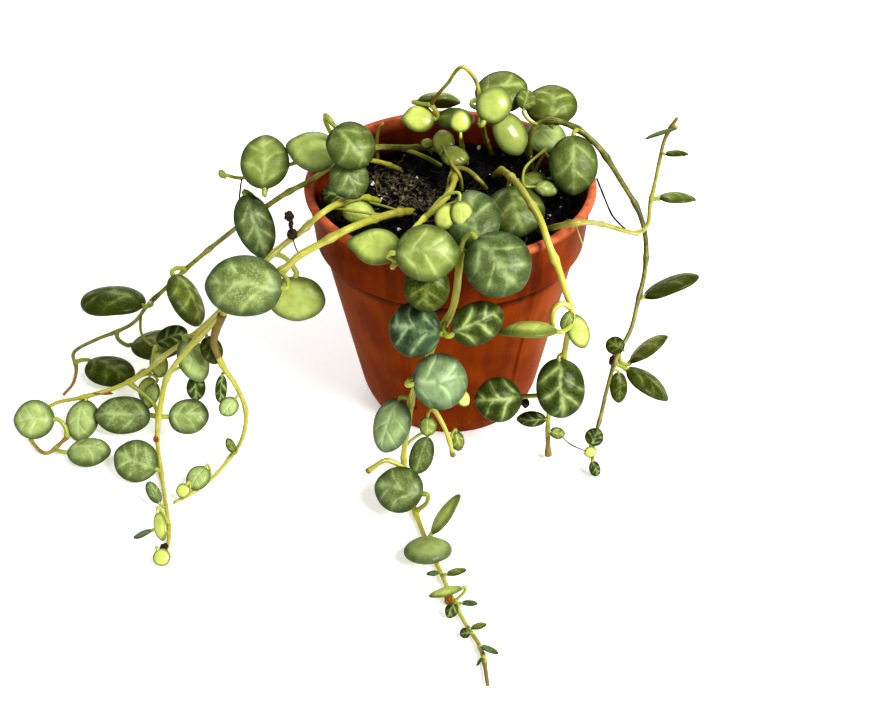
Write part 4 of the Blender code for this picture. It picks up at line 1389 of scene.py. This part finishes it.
class PLANT_OT_grow_leaves(bpy.types.Operator):
    """Grows the thick veined leaves on their stalks"""
    bl_idname = "plant.grow_leaves"
    bl_label = "Grow leaves"

    def execute(self, context):
        looks = context.scene.plant_leaves
        finish = leaf_finish(looks)
        for stem in STEMS:
            routes = stem_routes(stem, 0.8 * MM)
            for number, node in enumerate(leaf_nodes(stem)):
                blade, stalk_end = blade_from_node(node, looks.crown)
                tone = tone_of(node.removeprefix("leaf_"))
                bm = leaf_bmesh()
                add_blade(bm, blade, looks, tone, node)
                place = nearest_on_route(stalk_end, routes)
                add_stalk(bm, blade, looks, place, STALK_RADIUS, tone)
                add_piece(f"{node}_blade", bm, finish, [node])
        return {"FINISHED"}


# ---------------------------------------------------------------- stems

def joint_shares(name, routes):
    """Indices of the stem points where leaves join, a set for each route."""
    joints = [set() for _ in routes]
    for node in leaf_nodes(name):
        end = middle(node_rings(node)[-1])
        best = min(((point - end).length, which, index) for which, route in enumerate(routes)
                   for index, point in enumerate(route))
        joints[best[1]].add(best[2])
    return joints


def add_stem(name, tubes, looks, finish, replaced=()):
    """Makes a stem or twig from tubes, each a route with a radius and a growth for every point."""
    bm = bmesh.new()
    for layer in ("growth", "run"):
        bm.verts.layers.float_vector.new(layer)
    for route, radii, growths in tubes:
        add_tube(bm, route, radii, looks.sides, [{"growth": growth} for growth in growths])
    add_piece(name, bm, finish, replaced)


class PLANT_OT_grow_stems(bpy.types.Operator):
    """Grows the trailing stems with swollen joints"""
    bl_idname = "plant.grow_stems"
    bl_label = "Grow stems"

    def execute(self, context):
        looks = context.scene.plant_stems
        finish = stem_finish(looks)
        spacing = 0.6 * MM
        for name, (main_thick, main_thin, _) in STEMS.items():
            routes = stem_routes(name, spacing)
            age, bright, tip_age = STEM_AGES[name]
            tubes = []
            for which, (route, joints) in enumerate(zip(routes, joint_shares(name, routes))):
                thick, thin = (BRANCH_THICK, BRANCH_THIN) if which else (main_thick, main_thin)
                step = max(1, round(JOINT_SPACING / spacing))
                places = joints | {index for index in range(step, len(route) - 4, step)
                                   if all(abs(index - other) > step * 0.6 for other in joints)}
                radii = []
                growths = []
                for index, point in enumerate(route):
                    share_ = index / (len(route) - 1)
                    gap = min(abs(index - other) for other in places) if places else 99
                    swell = math.exp(-(gap * spacing / (0.9 * MM)) ** 2)
                    wobble = 0.07 * noise.noise(point / (3.0 * MM))
                    radius = (thick + share_ * (thin - thick)) / 2 * MM * looks.slimness
                    if which in FLARED_ENDS.get(name, ()):
                        left = (len(route) - 1 - index) * spacing / FLARE_LENGTH
                        radius *= 1.0 + FLARE_SIZE * math.exp(-left * left)
                    radii.append(radius * (1.0 + looks.swelling * swell + wobble))
                    older = age * (1.0 - 0.35 * share_) + tip_age * blend_share(share_, 0.8, 1.0)
                    near = math.exp(-(gap * spacing / (1.5 * MM)) ** 2)
                    growths.append((older, near, bright))
                tubes.append((route, radii, growths))
            add_stem(f"stem_{name}_skin", tubes, looks, finish, [f"stem_{name}"])
        return {"FINISHED"}


class PLANT_OT_grow_twigs(bpy.types.Operator):
    """Grows the thin extra twigs that rise from the soil and loop over the collar"""
    bl_idname = "plant.grow_twigs"
    bl_label = "Grow twigs"

    def execute(self, context):
        looks = context.scene.plant_stems
        finish = stem_finish(looks)
        for name, (thick, thin, (age, bright), points) in TWIGS.items():
            route = route_in_metres(points, 0.5 * MM)
            radii = []
            for index, point in enumerate(route):
                share_ = index / (len(route) - 1)
                wobble = 0.08 * noise.noise(point / (2.0 * MM))
                radii.append((thick + share_ * (thin - thick)) / 2 * MM * (1.0 + wobble))
            growths = [(age, 0.0, bright)] * len(route)
            add_stem(f"twig_{name}", [(route, radii, growths)], looks, finish)
        return {"FINISHED"}


class PLANT_OT_grow_small_leaves(bpy.types.Operator):
    """Grows the small leaves and buds near the tips and on the twigs"""
    bl_idname = "plant.grow_small_leaves"
    bl_label = "Grow small leaves"

    def execute(self, context):
        looks = context.scene.plant_leaves
        finish = leaf_finish(looks)
        for carrier, rows in SMALL_LEAVES.items():
            if carrier in STEMS:
                routes = stem_routes(carrier, 0.5 * MM)
            else:
                routes = [route_in_metres(TWIGS[carrier][3], 0.5 * MM)]
            for number, (tone, *row) in enumerate(rows, start=1):
                blade = blade_from_row(row)
                name = f"small_leaf_{carrier}_{number}"
                bm = leaf_bmesh()
                add_blade(bm, blade, looks, TONES[tone], name, sides=looks.sides // 2)
                place = nearest_on_route(blade.joint(looks.crown), routes)
                add_stalk(bm, blade, looks, place, SMALL_STALK_RADIUS, TONES[tone])
                add_piece(name, bm, finish)
        return {"FINISHED"}


class PLANT_OT_hang_scraps(bpy.types.Operator):
    """Adds the dried buds and the hair-thin dry roots"""
    bl_idname = "plant.hang_scraps"
    bl_label = "Hang dried scraps"

    def execute(self, context):
        finish = dry_finish("dried_scrap", (0.010, 0.006, 0.005), (0.055, 0.030, 0.018))
        rust = dry_finish("rusty_scrap", (0.20, 0.040, 0.008), (0.34, 0.17, 0.045))
        draw = random.Random(5)
        for name, (centre, sizes) in (SCRAPS | RUST_SCRAPS).items():
            bm = bmesh.new()
            made = bmesh.ops.create_icosphere(bm, subdivisions=3, radius=1.0)
            seed = Vector((draw.uniform(0, 50), draw.uniform(0, 50), 0.0))
            size = Vector(sizes) * MM
            for vert in made["verts"]:
                bulge = 1.0 + 0.45 * noise.noise(vert.co * 1.6 + seed)
                vert.co = Vector(centre) * MM + vert.co * size * bulge
            add_piece(name, bm, rust if name in RUST_SCRAPS else finish)
        for name, (thick, points) in HAIRS.items():
            route = route_in_metres(points, 0.5 * MM)
            bm = bmesh.new()
            radii = [thick / 2 * MM * (1.0 + 0.3 * noise.noise(point / (1.2 * MM)))
                     for point in route]
            add_tube(bm, route, radii, 8)
            add_piece(name, bm, finish)
        return {"FINISHED"}


# ---------------------------------------------------------------- stage

def add_area(name, place, size, watts, aim):
    """A square soft light that points at a place."""
    light = bpy.data.lights.new(name, "AREA")
    light.shape = "SQUARE"
    light.size = size
    light.energy = watts
    lamp = bpy.data.objects.new(name, light)
    lamp.location = place
    lamp.rotation_euler = (Vector(aim) - Vector(place)).to_track_quat("-Z", "Y").to_euler()
    bpy.context.scene.collection.objects.link(lamp)


class PLANT_OT_set_stage(bpy.types.Operator):
    """Sets the pale floor, the soft lights and the camera"""
    bl_idname = "plant.set_stage"
    bl_label = "Set the stage"

    def execute(self, context):
        looks = context.scene.plant_stage
        scene = context.scene
        bm = bmesh.new()
        bmesh.ops.create_grid(bm, x_segments=4, y_segments=4, size=looks.floor_size / 2)
        floor = add_object("floor", bm, floor_finish(looks))
        floor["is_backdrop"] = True
        aim = Vector(looks.aim)
        middle_height = Vector((0.0, 0.0, 0.03))
        add_area("key", (0.42, -0.38, 0.55), 0.34, looks.key_watts, middle_height)
        add_area("fill", (-0.60, -0.40, 0.40), 0.60, looks.fill_watts, middle_height)
        add_area("back", (-0.10, 0.60, 0.50), 0.50, looks.back_watts, middle_height)
        world = bpy.data.worlds.new("even light")
        world.use_nodes = True
        world.node_tree.nodes["Background"].inputs["Color"].default_value = (1.0, 1.0, 1.0, 1.0)
        world.node_tree.nodes["Background"].inputs["Strength"].default_value = looks.sky
        scene.world = world
        scene.view_settings.view_transform = "Standard"
        scene.view_settings.look = "High Contrast"
        camera = bpy.data.cameras.new("camera")
        camera.lens = looks.lens
        camera.sensor_width = 36.0
        camera.clip_start = 0.01
        back = facing(0.0, math.degrees(looks.elevation))
        eye = bpy.data.objects.new("camera", camera)
        eye.location = aim + back * looks.distance
        eye.rotation_euler = (-back).to_track_quat("-Z", "Y").to_euler()
        scene.collection.objects.link(eye)
        scene.camera = eye
        return {"FINISHED"}


# ---------------------------------------------------------------- add-on

class PLANT_PT_panel(bpy.types.Panel):
    """Sizes, colours and steps of the potted plant"""
    bl_label = "Potted plant"
    bl_space_type = "VIEW_3D"
    bl_region_type = "UI"
    bl_category = "Plant"

    def draw(self, context):
        layout = self.layout
        for operator in OPERATORS:
            layout.operator(operator.bl_idname)
        for name, group in GROUPS.items():
            box = layout.box()
            box.label(text=name.removeprefix("plant_").title())
            for key in group.__annotations__:
                box.prop(getattr(context.scene, name), key)


GROUPS = {"plant_stage": StageLooks, "plant_pot": PotLooks, "plant_soil": SoilLooks,
          "plant_stems": StemLooks, "plant_leaves": LeafLooks}
OPERATORS = (PLANT_OT_set_stage, PLANT_OT_turn_pot, PLANT_OT_fill_soil, PLANT_OT_scatter_grains,
             PLANT_OT_grow_stems, PLANT_OT_grow_twigs, PLANT_OT_grow_leaves,
             PLANT_OT_grow_small_leaves, PLANT_OT_hang_scraps)
CLASSES = (*GROUPS.values(), *OPERATORS, PLANT_PT_panel)


def register():
    for item in CLASSES:
        bpy.utils.register_class(item)
    for name, group in GROUPS.items():
        setattr(bpy.types.Scene, name, PointerProperty(type=group))


def unregister():
    for name in GROUPS:
        delattr(bpy.types.Scene, name)
    for item in reversed(CLASSES):
        bpy.utils.unregister_class(item)


def main():
    register()
    bpy.ops.plant.set_stage()
    bpy.ops.plant.turn_pot()
    bpy.ops.plant.fill_soil()
    bpy.ops.plant.scatter_grains()
    bpy.ops.plant.grow_stems()
    bpy.ops.plant.grow_twigs()
    bpy.ops.plant.grow_leaves()
    bpy.ops.plant.grow_small_leaves()
    bpy.ops.plant.hang_scraps()
    low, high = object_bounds()
    sizes = {"cad": [list(CAD_LOW), list(CAD_HIGH)], "visual": [list(low), list(high)]}


if __name__ == "__main__":
    main()
